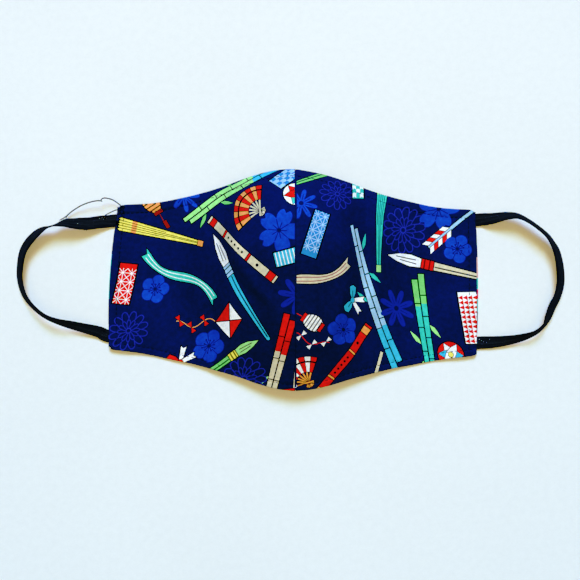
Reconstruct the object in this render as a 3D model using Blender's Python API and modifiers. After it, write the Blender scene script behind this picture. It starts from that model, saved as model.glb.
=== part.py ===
"""A contoured cloth face mask lying on a table, with its outer face up and its hollow underneath.

Metres, +Z up. X runs across the face and +Y points to the nose. The table is z = 0, and the origin is the
middle of the mask's box on the table. Two cloth panels meet at the centre seam. Each one ends in a turned
side hem that lies on the table, and a flat elastic ear loop is tucked between the hem and the panel.
"""

import math

import bmesh
import bpy
from mathutils import Vector

# Clearance between pieces that touch.
GAP = 0.0003

# The cloth panels, seen from above. "Reach" is from the centre seam to the side edge, which is shifted
# along Y, leans outwards towards the chin and bows outwards in the middle. The seam is shifted along Y too.
# The top edge bulges most at TOP_BULGE_PEAK, a share of the way from the side edge to the seam.
SEAM_SPAN = 0.1362
SEAM_SHIFT = -0.0006
SIDE_HEIGHT = {"left": 0.0898, "right": 0.0908}
PANEL_REACH = {"left": 0.1133, "right": 0.1123}
SIDE_SHIFT = {"left": 0.0015, "right": -0.0020}
SIDE_LEAN = {"left": 0.0057, "right": 0.0006}
SIDE_BOW = {"left": 0.0020, "right": 0.0006}
TOP_BULGE = {"left": 0.0015, "right": 0.0002}
TOP_BULGE_PEAK = 0.83
PANEL_WALL = 0.0012

# Heights above the table: the peak of the centre seam, and how far its two ends are lifted.
PEAK_HEIGHT = 0.044
NOSE_LIFT = 0.0155
CHIN_LIFT = 0.0105

# The side hems. "Show" is how far one peeps out past the panel's edge at its middle and at its ends.
HEM_WIDTH = 0.0075
HEM_WALL = 0.0022
HEM_INSET = 0.0012
HEM_SHOW = {"left": (0.0006, 0.0004), "right": (0.0011, 0.0005)}

# The elastic ear loops. "Inset" is from the side edge's lower and upper corner to the elastic's middle.
# "Slant" is how far it climbs towards the nose for each unit that it runs outwards there.
STRAP_WIDTH = 0.0078
STRAP_WALL = 0.0009
STRAP_TUCK = 0.0052
ANCHOR_INSET = {"left": (0.0083, 0.0096), "right": (0.0080, 0.0062)}
ANCHOR_SLANT = {"left": (0.24, -0.09), "right": (0.05, 0.09)}
LOOP_REACH = {"left": 0.0574, "right": 0.0519}
LOOP_LIFT = 0.010
EXIT_RUN = 0.0020

# Sections of a panel from its side edge (across 0) to the centre seam (across 1), as shares:
# across, top (climb of the top edge to the nose), bottom (drop of the bottom edge to the chin),
# seat (height over the hem), crown (share of the dome) and lift (share of the raised nose and chin).
STATIONS = (
    (0.00, -0.09, -0.03, 1.00, 0.00, 0.00),
    (0.03, 0.00, 0.01, 1.00, 0.00, 0.00),
    (0.10, 0.02, 0.05, 1.00, 0.00, 0.00),
    (0.16, 0.04, 0.09, 0.55, 0.00, 0.00),
    (0.25, 0.10, 0.17, 0.00, 0.02, 0.02),
    (0.36, 0.21, 0.28, 0.00, 0.07, 0.07),
    (0.46, 0.325, 0.375, 0.00, 0.18, 0.16),
    (0.58, 0.485, 0.525, 0.00, 0.42, 0.35),
    (0.70, 0.675, 0.68, 0.00, 0.69, 0.58),
    (0.82, 0.84, 0.86, 0.00, 0.87, 0.79),
    (0.92, 0.94, 0.965, 0.00, 0.955, 0.92),
    (1.00, 1.00, 1.00, 0.00, 1.00, 1.00),
)

# The dome along the centre seam, from chin (along 0) to nose (along 1), as shares: along, rise.
RIDGE = (
    (0.00, 0.00),
    (0.12, 0.26),
    (0.26, 0.54),
    (0.40, 0.78),
    (0.53, 0.94),
    (0.64, 1.00),
    (0.76, 0.93),
    (0.87, 0.68),
    (0.95, 0.33),
    (1.00, 0.00),
)

# Soft folds that run up the cheeks: side, across, lean (shift of across from chin to nose), width (share
# of the reach), height (share of the peak, below 0 for a dent), and where each begins and ends going up.
# FOLD_FADE is the share of the way up over which a fold fades in and out.
FOLD_FADE = 0.2
FOLDS = (
    ("left", 0.57, 0.05, 0.060, -0.042, 0.02, 0.98),
    ("left", 0.70, 0.04, 0.055, 0.020, 0.12, 1.00),
    ("right", 0.64, 0.02, 0.060, -0.052, 0.02, 0.98),
    ("right", 0.77, 0.01, 0.050, 0.024, 0.12, 1.00),
)

# The ear loops from the upper anchor to the lower one, as shares: out (of the loop's reach), up (from the
# lower anchor to the upper one), lift (of the loop's lift), and roll in degrees (0 flat, 90 on edge).
ROUTES = {
    "left": (
        (0.15, 0.985, 0.35, 4.0),
        (0.27, 0.970, 0.60, 8.0),
        (0.41, 0.970, 0.85, 30.0),
        (0.50, 0.974, 0.95, 48.0),
        (0.65, 0.945, 0.95, 84.0),
        (0.752, 0.914, 0.86, 60.0),
        (0.83, 0.871, 0.76, 46.0),
        (0.913, 0.80, 0.68, 42.0),
        (0.974, 0.71, 0.60, 45.0),
        (1.004, 0.545, 0.55, 51.0),
        (0.988, 0.44, 0.58, 55.0),
        (0.94, 0.343, 0.66, 60.0),
        (0.845, 0.252, 0.82, 65.0),
        (0.714, 0.172, 0.92, 67.0),
        (0.59, 0.130, 0.90, 62.0),
        (0.432, 0.095, 0.70, 46.0),
        (0.273, 0.062, 0.50, 33.0),
        (0.145, 0.032, 0.30, 17.0),
    ),
    "right": (
        (0.185, 1.010, 0.40, 26.0),
        (0.35, 1.028, 0.80, 50.0),
        (0.476, 1.025, 0.95, 61.0),
        (0.61, 0.981, 1.00, 66.0),
        (0.744, 0.916, 1.00, 65.0),
        (0.842, 0.857, 0.90, 61.0),
        (0.90, 0.80, 0.80, 55.0),
        (0.941, 0.748, 0.75, 47.0),
        (0.976, 0.674, 0.65, 44.0),
        (0.996, 0.585, 0.60, 40.0),
        (1.00, 0.484, 0.55, 40.0),
        (0.962, 0.376, 0.55, 44.0),
        (0.903, 0.302, 0.60, 42.0),
        (0.849, 0.213, 0.65, 48.0),
        (0.793, 0.140, 0.70, 66.0),
        (0.69, 0.083, 0.70, 64.0),
        (0.54, 0.045, 0.60, 51.0),
        (0.366, 0.020, 0.45, 35.0),
        (0.19, 0.006, 0.28, 16.0),
    ),
}

# Facets: columns and rows of a panel, columns and rows of a hem, and the length of one step of a strap.
PANEL_GRID = (26, 22)
HEM_GRID = (2, 18)
STRAP_STEP = 0.0022

# How far cutters reach past what they cut.
OVERRUN = 0.002

SIGN = {"left": -1.0, "right": 1.0}
COLOURS = {
    "printed_cotton": ((0.010, 0.022, 0.150), 0.85),
    "hem_cotton": ((0.008, 0.018, 0.120), 0.88),
    "black_elastic": ((0.006, 0.007, 0.010), 0.65),
}


def monotone_curve(places, values):
    """A smooth function through the points that never overshoots them, and runs straight on past both."""
    steps = [b - a for a, b in zip(places, places[1:])]
    slopes = [(b - a) / step for a, b, step in zip(values, values[1:], steps)]
    inner = [
        0.0 if before * after <= 0 else 2 * before * after / (before + after)
        for before, after in zip(slopes, slopes[1:])
    ]
    tangents = [slopes[0], *inner, slopes[-1]]

    def at(place):
        if place >= places[-1]:
            return values[-1] + tangents[-1] * (place - places[-1])
        if place <= places[0]:
            return values[0] + tangents[0] * (place - places[0])
        i = max(k for k, start in enumerate(places[:-1]) if start <= place)
        t = (place - places[i]) / steps[i]
        rest = 1 - t
        return (
            values[i] * rest * rest * (1 + 2 * t)
            + values[i + 1] * t * t * (3 - 2 * t)
            + tangents[i] * steps[i] * t * rest * rest
            - tangents[i + 1] * steps[i] * t * t * rest
        )

    return at


def columns_of(rows):
    """One curve for each column after the first, over the first column."""
    places, *columns = zip(*rows)
    return [monotone_curve(places, column) for column in columns]


def blend(start, end, share):
    return start + (end - start) * share


def fade(share):
    """0 below 0, 1 above 1, and smooth between."""
    t = min(max(share, 0.0), 1.0)
    return t * t * (3 - 2 * t)


TOP, BOTTOM, SEAT, CROWN, LIFT = columns_of(STATIONS)
(RIDGE_RISE,) = columns_of(RIDGE)
PEAK_ALONG = max(RIDGE, key=lambda row: row[1])[0]


def side_corners(side):
    """Y of the side edge's lower and upper corner."""
    return (
        SIDE_SHIFT[side] - SIDE_HEIGHT[side] / 2,
        SIDE_SHIFT[side] + SIDE_HEIGHT[side] / 2,
    )


def side_x(side, up):
    """X of the panel's side edge."""
    lean = SIDE_LEAN[side] * (0.5 - up)
    bow = SIDE_BOW[side] * math.sin(math.pi * min(max(up, 0.0), 1.0))
    return SIGN[side] * (PANEL_REACH[side] + lean + bow)


def top_bulge(side, across):
    """How far the top edge bulges out, from 0 at the side edge to 0 at the seam."""
    skew = math.log(0.5) / math.log(TOP_BULGE_PEAK)
    share = min(max(across, 0.0), 1.0) ** skew
    return TOP_BULGE[side] * math.sin(math.pi * share)


def fold_height(side, across, up):
    """How far the cheek folds raise or sink the cloth."""
    height = 0.0
    for owner, centre, lean, width, share, low, high in FOLDS:
        if owner != side:
            continue
        off = (across - centre - lean * (up - 0.5)) / width
        ends = fade((up - low) / FOLD_FADE) * fade((high - up) / FOLD_FADE)
        height += share * PEAK_HEIGHT * math.exp(-off * off) * ends
    return height


def panel_point(side, across, up):
    """A point of the panel's outer face: across runs from side edge to seam, and up from chin to nose."""
    low_corner, high_corner = side_corners(side)
    low = blend(low_corner, SEAM_SHIFT - SEAM_SPAN / 2, BOTTOM(across))
    high = blend(high_corner, SEAM_SHIFT + SEAM_SPAN / 2, TOP(across)) + top_bulge(side, across)
    resting = PANEL_WALL + GAP
    over_hem = HEM_WALL + GAP + PANEL_WALL
    rise = PEAK_HEIGHT - resting - blend(CHIN_LIFT, NOSE_LIFT, PEAK_ALONG)
    height = (
        blend(resting, over_hem, SEAT(across))
        + LIFT(across) * blend(CHIN_LIFT, NOSE_LIFT, up)
        + CROWN(across) * rise * RIDGE_RISE(up)
        + fold_height(side, across, up)
    )
    return Vector((side_x(side, up) * (1 - across), blend(low, high, up), height))


def new_object(name, mesh, group):
    obj = bpy.data.objects.new(name, mesh)
    group.objects.link(obj)
    return obj


def grid_surface(name, group, columns, rows, place):
    """An open grid of columns by rows quads, with each corner put where place(across, up) says."""
    shape = bmesh.new()
    bmesh.ops.create_grid(shape, x_segments=columns, y_segments=rows, size=1.0)
    for corner in shape.verts:
        corner.co = place((corner.co.x + 1) / 2, (corner.co.y + 1) / 2)
    shape.normal_update()
    if sum(face.normal.z * face.calc_area() for face in shape.faces) < 0:
        bmesh.ops.reverse_faces(shape, faces=shape.faces)
    mesh = bpy.data.meshes.new(name)
    shape.to_mesh(mesh)
    shape.free()
    return new_object(name, mesh, group)


def thicken(obj, wall, offset):
    """Gives an open surface its wall: offset -1 puts it under the surface, 0 on both sides."""
    solid = obj.modifiers.new("wall", "SOLIDIFY")
    solid.thickness = wall
    solid.offset = offset
    solid.use_even_offset = True


def box_cutter(name, group, low, high):
    """A closed box between two corners, shown as a wire and never rendered."""
    shape = bmesh.new()
    bmesh.ops.create_cube(shape, size=1.0)
    middle = (Vector(low) + Vector(high)) / 2
    size = Vector(high) - Vector(low)
    for corner in shape.verts:
        corner.co = Vector(c * s for c, s in zip(corner.co, size)) + middle
    mesh = bpy.data.meshes.new(name)
    shape.to_mesh(mesh)
    shape.free()
    cutter = new_object(name, mesh, group)
    cutter.display_type = "WIRE"
    cutter.hide_render = True
    return cutter


def cut(obj, cutter):
    """Cuts the cutter's shape out of the object."""
    boolean = obj.modifiers.new(cutter.name, "BOOLEAN")
    boolean.operation = "DIFFERENCE"
    boolean.object = cutter


def material(name):
    colour, roughness = COLOURS[name]
    made = bpy.data.materials.get(name) or bpy.data.materials.new(name)
    made.use_nodes = True
    shader = made.node_tree.nodes["Principled BSDF"]
    shader.inputs["Base Color"].default_value = (*colour, 1.0)
    shader.inputs["Roughness"].default_value = roughness
    shader.inputs["Metallic"].default_value = 0.0
    return made


def make_panel(side, parts, cutters):
    """One half of the mask: a domed sheet that stops half a gap short of the centre seam."""
    columns, rows = PANEL_GRID
    past_seam = 1 + OVERRUN / PANEL_REACH[side]
    panel = grid_surface(
        f"panel_{side}",
        parts,
        columns,
        rows,
        lambda across, up: panel_point(side, across * past_seam, up),
    )
    thicken(panel, PANEL_WALL, -1.0)
    near, far = SIGN[side] * GAP / 2, -SIGN[side] * PANEL_REACH[side]
    seam_cutter = box_cutter(
        f"seam_cutter_{side}",
        cutters,
        (min(near, far), -SEAM_SPAN, -PEAK_HEIGHT),
        (max(near, far), SEAM_SPAN, 2 * PEAK_HEIGHT),
    )
    cut(panel, seam_cutter)
    panel.data.materials.append(material("printed_cotton"))
    for face in panel.data.polygons:
        face.use_smooth = True
    return panel


def hem_edges(side, up):
    """Distances of the hem's outer and inner edge from the seam plane, at a share of the side's height."""
    middle, ends = HEM_SHOW[side]
    show = blend(ends, middle, math.sin(math.pi * up) ** 2)
    outer = abs(side_x(side, up)) + show
    inner = abs(side_x(side, up)) - HEM_WIDTH
    return outer, inner


def up_of(side, y):
    low_corner, high_corner = side_corners(side)
    return (y - low_corner) / (high_corner - low_corner)


def anchors(side):
    """Where the elastic enters at the hem's outer edge, lower first: distance from the seam, y, slant."""
    low_corner, high_corner = side_corners(side)
    low_inset, high_inset = ANCHOR_INSET[side]
    places = []
    for y, slant in zip(
        (low_corner + low_inset, high_corner - high_inset), ANCHOR_SLANT[side]
    ):
        outer, _ = hem_edges(side, up_of(side, y))
        places.append((outer, y, slant))
    return places


def make_hem(side, parts, cutters):
    """The turned side hem: a flat strip under the panel's edge, slotted on top for the elastic's ends."""
    low_corner, high_corner = side_corners(side)

    def place(across, up):
        y = blend(low_corner + HEM_INSET, high_corner - HEM_INSET, up)
        outer, inner = hem_edges(side, up_of(side, y))
        return Vector((SIGN[side] * blend(inner, outer, across), y, HEM_WALL))

    columns, rows = HEM_GRID
    hem = grid_surface(f"side_hem_{side}", parts, columns, rows, place)
    thicken(hem, HEM_WALL, -1.0)
    slot_floor = HEM_WALL - STRAP_WALL - 2 * GAP
    for level, (distance, y, slant) in zip(("lower", "upper"), anchors(side)):
        run = STRAP_TUCK + EXIT_RUN
        half_slot = STRAP_WIDTH / 2 + abs(slant) * run + GAP
        start = distance - STRAP_TUCK - abs(slant) * STRAP_WIDTH / 2 - GAP
        xs = sorted((SIGN[side] * start, SIGN[side] * (distance + HEM_WIDTH)))
        slot = box_cutter(
            f"slot_{level}_{side}",
            cutters,
            (xs[0], y - half_slot, slot_floor),
            (xs[1], y + half_slot, HEM_WALL + OVERRUN),
        )
        cut(hem, slot)
    hem.data.materials.append(material("hem_cotton"))
    return hem


def loop_stations(side):
    """Rows of x, y, z and roll down the middle of the elastic, from one tucked end to the other."""
    lower, upper = anchors(side)
    exit_z = HEM_WALL - GAP - STRAP_WALL / 2

    def tucked(anchor):
        distance, y, slant = anchor
        return [
            (distance + run, y + slant * run, exit_z, 0.0)
            for run in (-STRAP_TUCK, EXIT_RUN)
        ]

    route = [
        (
            PANEL_REACH[side] + out * LOOP_REACH[side],
            blend(lower[1], upper[1], up),
            lift * LOOP_LIFT,
            roll,
        )
        for out, up, lift, roll in ROUTES[side]
    ]
    return [*tucked(upper), *route, *reversed(tucked(lower))]


def smooth_path(points, along):
    """A Catmull-Rom curve through points in a plane, as a function of the distance along them."""
    tangents = []
    for i in range(len(points)):
        before, after = max(i - 1, 0), min(i + 1, len(points) - 1)
        run = along[after] - along[before]
        tangents.append(
            tuple((b - a) / run for a, b in zip(points[before], points[after]))
        )

    def at(distance):
        i = max(k for k, start in enumerate(along[:-1]) if start <= distance)
        span = along[i + 1] - along[i]
        t = (distance - along[i]) / span
        rest = 1 - t
        return tuple(
            a * rest * rest * (1 + 2 * t)
            + b * t * t * (3 - 2 * t)
            + m * span * t * rest * rest
            - n * span * t * t * rest
            for a, b, m, n in zip(
                points[i], points[i + 1], tangents[i], tangents[i + 1]
            )
        )

    return at


def make_loop(side, parts):
    """The elastic ear loop: a band that leaves the hem flat and stands on edge round its bend."""
    stations = loop_stations(side)
    plan = [(x, y) for x, y, _, _ in stations]
    along = [0.0]
    for (ax, ay), (bx, by) in zip(plan, plan[1:]):
        along.append(along[-1] + math.hypot(bx - ax, by - ay))
    plan_at = smooth_path(plan, along)
    height_at = monotone_curve(along, [z for _, _, z, _ in stations])
    roll_at = monotone_curve(along, [roll for _, _, _, roll in stations])
    steps = math.ceil(along[-1] / STRAP_STEP)

    def place(share, across):
        distance = share * along[-1]
        nudge = along[-1] / steps / 4
        x, y = plan_at(distance)
        ahead = plan_at(min(distance + nudge, along[-1]))
        behind = plan_at(max(distance - nudge, 0.0))
        heading = Vector((ahead[0] - behind[0], ahead[1] - behind[1], 0)).normalized()
        inwards = Vector((heading.y, -heading.x, 0))
        roll = math.radians(roll_at(distance))
        width = inwards * math.cos(roll) + Vector((0, 0, math.sin(roll)))
        spot = Vector((x, y, height_at(distance)))
        spot += width * STRAP_WIDTH * (across - 0.5)
        return Vector((SIGN[side] * spot.x, spot.y, spot.z))

    loop = grid_surface(f"ear_loop_{side}", parts, steps, 2, place)
    thicken(loop, STRAP_WALL, 0.0)
    loop.data.materials.append(material("black_elastic"))
    return loop


def centre_on_table(parts, cutters):
    """Moves everything so that the middle of the mask's box, on the table, is the origin."""
    graph = bpy.context.evaluated_depsgraph_get()
    corners = []
    for obj in parts.objects:
        solid = obj.evaluated_get(graph)
        corners += [solid.matrix_world @ v.co for v in solid.data.vertices]
    xs, ys, zs = zip(*corners)
    shift = Vector(
        (-(min(xs) + max(xs)) / 2, -(min(ys) + max(ys)) / 2, -min(zs))
    )
    for obj in (*parts.objects, *cutters.objects):
        obj.location += shift


def main():
    for obj in list(bpy.data.objects):
        bpy.data.objects.remove(obj)
    parts = bpy.data.collections.new("cloth_face_mask")
    cutters = bpy.data.collections.new("cutters")
    for group in (parts, cutters):
        bpy.context.scene.collection.children.link(group)
    for side in ("left", "right"):
        make_panel(side, parts, cutters)
        make_hem(side, parts, cutters)
        make_loop(side, parts)
    centre_on_table(parts, cutters)


main()
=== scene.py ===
"""The looks of the cloth face mask: printed cotton, stitching, elastic, thread, table, light and camera.

Lengths are in metres unless a name or a comment says millimetres. The print is drawn in millimetres of flat
cloth, and each panel is triangulated along the print's own lines, so that its colours have clean edges.
"""

import math

import bpy
import numpy as np
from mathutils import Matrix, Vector, geometry
from mathutils.bvhtree import BVHTree


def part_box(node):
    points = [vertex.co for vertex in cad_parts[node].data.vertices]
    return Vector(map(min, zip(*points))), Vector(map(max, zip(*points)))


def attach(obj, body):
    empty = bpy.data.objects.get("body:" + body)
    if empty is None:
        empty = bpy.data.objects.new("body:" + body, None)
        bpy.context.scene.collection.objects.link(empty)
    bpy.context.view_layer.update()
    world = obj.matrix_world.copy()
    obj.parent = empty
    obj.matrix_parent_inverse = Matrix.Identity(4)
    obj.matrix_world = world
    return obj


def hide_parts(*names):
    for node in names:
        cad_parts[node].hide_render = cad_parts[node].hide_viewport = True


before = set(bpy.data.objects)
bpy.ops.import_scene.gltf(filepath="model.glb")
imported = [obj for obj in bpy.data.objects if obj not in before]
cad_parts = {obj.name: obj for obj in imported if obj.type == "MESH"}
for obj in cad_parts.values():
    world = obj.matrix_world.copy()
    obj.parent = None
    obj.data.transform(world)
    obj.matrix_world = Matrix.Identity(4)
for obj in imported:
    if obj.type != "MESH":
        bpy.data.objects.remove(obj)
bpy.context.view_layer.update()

MM = 0.001

# The mask's shape, as the CAD has it.
SIDES = ("left", "right")
SIGN = {"left": -1.0, "right": 1.0}
GAP = 0.0003
SEAM_SPAN = 0.1362
SEAM_SHIFT = -0.0006
SIDE_HEIGHT = {"left": 0.0898, "right": 0.0908}
PANEL_REACH = {"left": 0.1133, "right": 0.1123}
SIDE_SHIFT = {"left": 0.0015, "right": -0.0020}
SIDE_LEAN = {"left": 0.0057, "right": 0.0006}
SIDE_BOW = {"left": 0.0020, "right": 0.0006}
TOP_BULGE = {"left": 0.0015, "right": 0.0002}
TOP_BULGE_PEAK = 0.83
PANEL_WALL = 0.0012
PEAK_HEIGHT = 0.044
NOSE_LIFT = 0.0155
CHIN_LIFT = 0.0105
HEM_WIDTH = 0.0075
HEM_WALL = 0.0022
HEM_INSET = 0.0012
HEM_SHOW = {"left": (0.0006, 0.0004), "right": (0.0011, 0.0005)}
STRAP_WIDTH = 0.0078
STRAP_WALL = 0.0009
STRAP_TUCK = 0.0052
ANCHOR_INSET = {"left": (0.0083, 0.0096), "right": (0.0080, 0.0062)}
ANCHOR_SLANT = {"left": (0.24, -0.09), "right": (0.05, 0.09)}
LOOP_REACH = {"left": 0.0574, "right": 0.0519}
LOOP_LIFT = 0.010
EXIT_RUN = 0.0020

# across, top, bottom, seat, crown, lift
STATIONS = (
    (0.00, -0.09, -0.03, 1.00, 0.00, 0.00),
    (0.03, 0.00, 0.01, 1.00, 0.00, 0.00),
    (0.10, 0.02, 0.05, 1.00, 0.00, 0.00),
    (0.16, 0.04, 0.09, 0.55, 0.00, 0.00),
    (0.25, 0.10, 0.17, 0.00, 0.02, 0.02),
    (0.36, 0.21, 0.28, 0.00, 0.07, 0.07),
    (0.46, 0.325, 0.375, 0.00, 0.18, 0.16),
    (0.58, 0.485, 0.525, 0.00, 0.42, 0.35),
    (0.70, 0.675, 0.68, 0.00, 0.69, 0.58),
    (0.82, 0.84, 0.86, 0.00, 0.87, 0.79),
    (0.92, 0.94, 0.965, 0.00, 0.955, 0.92),
    (1.00, 1.00, 1.00, 0.00, 1.00, 1.00),
)
# along, rise
RIDGE = (
    (0.00, 0.00), (0.12, 0.26), (0.26, 0.54), (0.40, 0.78), (0.53, 0.94),
    (0.64, 1.00), (0.76, 0.93), (0.87, 0.68), (0.95, 0.33), (1.00, 0.00),
)
FOLD_FADE = 0.2
# side, across, lean, width, height, low, high
FOLDS = (
    ("left", 0.57, 0.05, 0.060, -0.042, 0.02, 0.98),
    ("left", 0.70, 0.04, 0.055, 0.020, 0.12, 1.00),
    ("right", 0.64, 0.02, 0.060, -0.052, 0.02, 0.98),
    ("right", 0.77, 0.01, 0.050, 0.024, 0.12, 1.00),
)
# out, up, lift, roll in degrees
ROUTES = {
    "left": (
        (0.15, 0.985, 0.35, 4.0), (0.27, 0.970, 0.60, 8.0), (0.41, 0.970, 0.85, 30.0),
        (0.50, 0.974, 0.95, 48.0), (0.65, 0.945, 0.95, 84.0), (0.752, 0.914, 0.86, 60.0),
        (0.83, 0.871, 0.76, 46.0), (0.913, 0.80, 0.68, 42.0), (0.974, 0.71, 0.60, 45.0),
        (1.004, 0.545, 0.55, 51.0), (0.988, 0.44, 0.58, 55.0), (0.94, 0.343, 0.66, 60.0),
        (0.845, 0.252, 0.82, 65.0), (0.714, 0.172, 0.92, 67.0), (0.59, 0.130, 0.90, 62.0),
        (0.432, 0.095, 0.70, 46.0), (0.273, 0.062, 0.50, 33.0), (0.145, 0.032, 0.30, 17.0),
    ),
    "right": (
        (0.185, 1.010, 0.40, 26.0), (0.35, 1.028, 0.80, 50.0), (0.476, 1.025, 0.95, 61.0),
        (0.61, 0.981, 1.00, 66.0), (0.744, 0.916, 1.00, 65.0), (0.842, 0.857, 0.90, 61.0),
        (0.90, 0.80, 0.80, 55.0), (0.941, 0.748, 0.75, 47.0), (0.976, 0.674, 0.65, 44.0),
        (0.996, 0.585, 0.60, 40.0), (1.00, 0.484, 0.55, 40.0), (0.962, 0.376, 0.55, 44.0),
        (0.903, 0.302, 0.60, 42.0), (0.849, 0.213, 0.65, 48.0), (0.793, 0.140, 0.70, 66.0),
        (0.69, 0.083, 0.70, 64.0), (0.54, 0.045, 0.60, 51.0), (0.366, 0.020, 0.45, 35.0),
        (0.19, 0.006, 0.28, 16.0),
    ),
}

# The CAD's origin is the middle of its box. This is where the seam's own frame lies in it.
SEAM_X = (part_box("panel_left")[1].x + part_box("panel_right")[0].x) / 2
FRAME_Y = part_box("side_hem_left")[0].y - (SIDE_SHIFT["left"] - SIDE_HEIGHT["left"] / 2 + HEM_INSET)

# Sewing: how far the stitch lines lie inside the nose, chin and side edges.
NOSE_STITCH = 0.0053
CHIN_STITCH = 0.0042
SIDE_STITCH = 0.0048
STITCH_LENGTH = 0.0021
STITCH_PITCH = 0.0029
THREAD_RADIUS = 0.00017

# The camera stands this high over the table, a pixel of the photograph shows this much of the table, and
# the CAD's origin lies at the centre pixel.
CAMERA_HEIGHT = 0.65
PIXEL = 0.000625
PIXELS = 580
CENTRE_PIXEL = (290.5, 280.54)


def linear(code):
    """Linear colour of a hex sRGB code."""
    parts = [int(code[i : i + 2], 16) / 255 for i in (0, 2, 4)]
    return tuple(c / 12.92 if c <= 0.04045 else ((c + 0.055) / 1.055) ** 2.4 for c in parts)


CODES = {
    "navy": "0C2250", "ink": "04060D", "petal": "1C4ABC", "petal_deep": "1A389C", "line": "3144AC",
    "cream": "E1D7B6", "white": "FCFDFF", "red": "E8281F", "brick": "A02418", "orange": "F8A256",
    "yellow": "F8EA62", "teal": "48CCBA", "cyan": "4CC0E4", "sky": "A2D2F2", "azure": "3C86CC",
    "lime": "A0EA88", "green": "74D46C", "pink": "F0B4B0",
}
PALETTE = {name: linear(code) for name, code in CODES.items()}


# Curves, noise and lengths.


def blend(start, end, share):
    return start + (end - start) * share


def fade(share):
    t = np.clip(share, 0, 1)
    return t * t * (3 - 2 * t)


def bell(distance, width):
    return np.exp(-((distance / width) ** 2))


def pull(distance, reach):
    return np.exp(-np.abs(distance) / reach)


def unit(vectors):
    return vectors / np.maximum(np.linalg.norm(vectors, axis=-1, keepdims=True), 1e-9)


def run_along(points):
    """The distance of each point of a path from its start."""
    return np.concatenate([[0], np.cumsum(np.linalg.norm(np.diff(points, axis=0), axis=1))])


def hermite(start, end, leave, arrive, t):
    """A cubic from start to end, which leaves and arrives with the slopes given."""
    rest = 1 - t
    ends = start * rest * rest * (1 + 2 * t) + end * t * t * (3 - 2 * t)
    return ends + leave * t * rest * rest - arrive * t * t * rest


class Curve:
    """A smooth function through the points that never overshoots them, and runs straight on past both."""

    def __init__(self, places, values):
        self.x, self.y = np.array(places, float), np.array(values, float)
        slope = np.diff(self.y) / np.diff(self.x)
        before, after = slope[:-1], slope[1:]
        total = np.where(before * after <= 0, 1.0, before + after)
        inner = np.where(before * after <= 0, 0.0, 2 * before * after / total)
        self.m = np.concatenate([slope[:1], inner, slope[-1:]])

    def __call__(self, at):
        at = np.asarray(at, float)
        i = np.clip(np.searchsorted(self.x, at, side="right") - 1, 0, len(self.x) - 2)
        span = self.x[i + 1] - self.x[i]
        t = np.clip((at - self.x[i]) / span, 0, 1)
        smooth = hermite(self.y[i], self.y[i + 1], self.m[i] * span, self.m[i + 1] * span, t)
        past = np.minimum(at - self.x[0], 0) * self.m[0]
        past += np.maximum(at - self.x[-1], 0) * self.m[-1]
        return smooth + past


def curves_of(rows):
    places, *columns = zip(*rows)
    return [Curve(places, column) for column in columns]


TOP, BOTTOM, SEAT, CROWN, LIFT = curves_of(STATIONS)
(RIDGE_RISE,) = curves_of(RIDGE)
PEAK_ALONG = max(RIDGE, key=lambda row: row[1])[0]


def tangents(points, run):
    return np.gradient(points, axis=0) / np.gradient(run)[:, None]


def smooth_path(points, tangent, run, stops):
    """Points at some distances along the smooth path through points."""
    i = np.clip(np.searchsorted(run, stops, side="right") - 1, 0, len(run) - 2)
    gap = (run[i + 1] - run[i])[:, None]
    t = ((stops - run[i]) / gap[:, 0])[:, None]
    return hermite(points[i], points[i + 1], tangent[i] * gap, tangent[i + 1] * gap, t)


GRAIN_SIZE = 64
LATTICE = np.random.default_rng(11).uniform(-1, 1, (GRAIN_SIZE, GRAIN_SIZE))


def grain(x, y):
    """Smooth noise from -1 to 1 over the plane, repeating every GRAIN_SIZE."""
    xi, yi = np.floor(x).astype(int), np.floor(y).astype(int)
    tx, ty = fade(x - xi), fade(y - yi)

    def knot(i, j):
        return LATTICE[(xi + i) % GRAIN_SIZE, (yi + j) % GRAIN_SIZE]

    return blend(blend(knot(0, 0), knot(1, 0), tx), blend(knot(0, 1), knot(1, 1), tx), ty)


def ripple(along, seed):
    """Uneven waves of about 4 mm along an edge, for the pull of the stitches."""
    w = along / MM
    waves = 0.45 * np.sin(w * 1.53 + seed) + 0.3 * np.sin(w * 2.11 + 2.3 * seed)
    return waves + 0.45 * grain(w * 0.42 + seed * 7, w * 0 + seed * 3)


# The shape of the cloth. d is the distance from the seam, across runs from the side edge (0) to the seam (1),
# and up from the chin edge (0) to the nose edge (1).


def corners(side):
    half = SIDE_HEIGHT[side] / 2
    return SIDE_SHIFT[side] - half, SIDE_SHIFT[side] + half


def side_distance(side, up):
    """From the seam to the side edge."""
    bow = SIDE_BOW[side] * np.sin(math.pi * np.clip(up, 0, 1))
    return PANEL_REACH[side] + SIDE_LEAN[side] * (0.5 - up) + bow


def edges_at(side, across):
    """Y of the chin edge and the nose edge."""
    low_corner, high_corner = corners(side)
    low = blend(low_corner, SEAM_SHIFT - SEAM_SPAN / 2, BOTTOM(across))
    skew = math.log(0.5) / math.log(TOP_BULGE_PEAK)
    bulge = TOP_BULGE[side] * np.sin(math.pi * np.clip(across, 0, 1) ** skew)
    high = blend(high_corner, SEAM_SHIFT + SEAM_SPAN / 2, TOP(across)) + bulge
    return low, high


PLACE_ROUNDS = 6


def place_on(side, d, y):
    """Across and up of a point d from the seam and at y, with the edges there."""
    across = 1 - d / PANEL_REACH[side]
    for _ in range(PLACE_ROUNDS):
        low, high = edges_at(side, across)
        up = (y - low) / (high - low)
        edge = side_distance(side, up)
        across = 1 - d / edge
    return across, up, low, high, edge


PAST_ACROSS, PAST_UP = 0.05, 0.06


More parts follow.
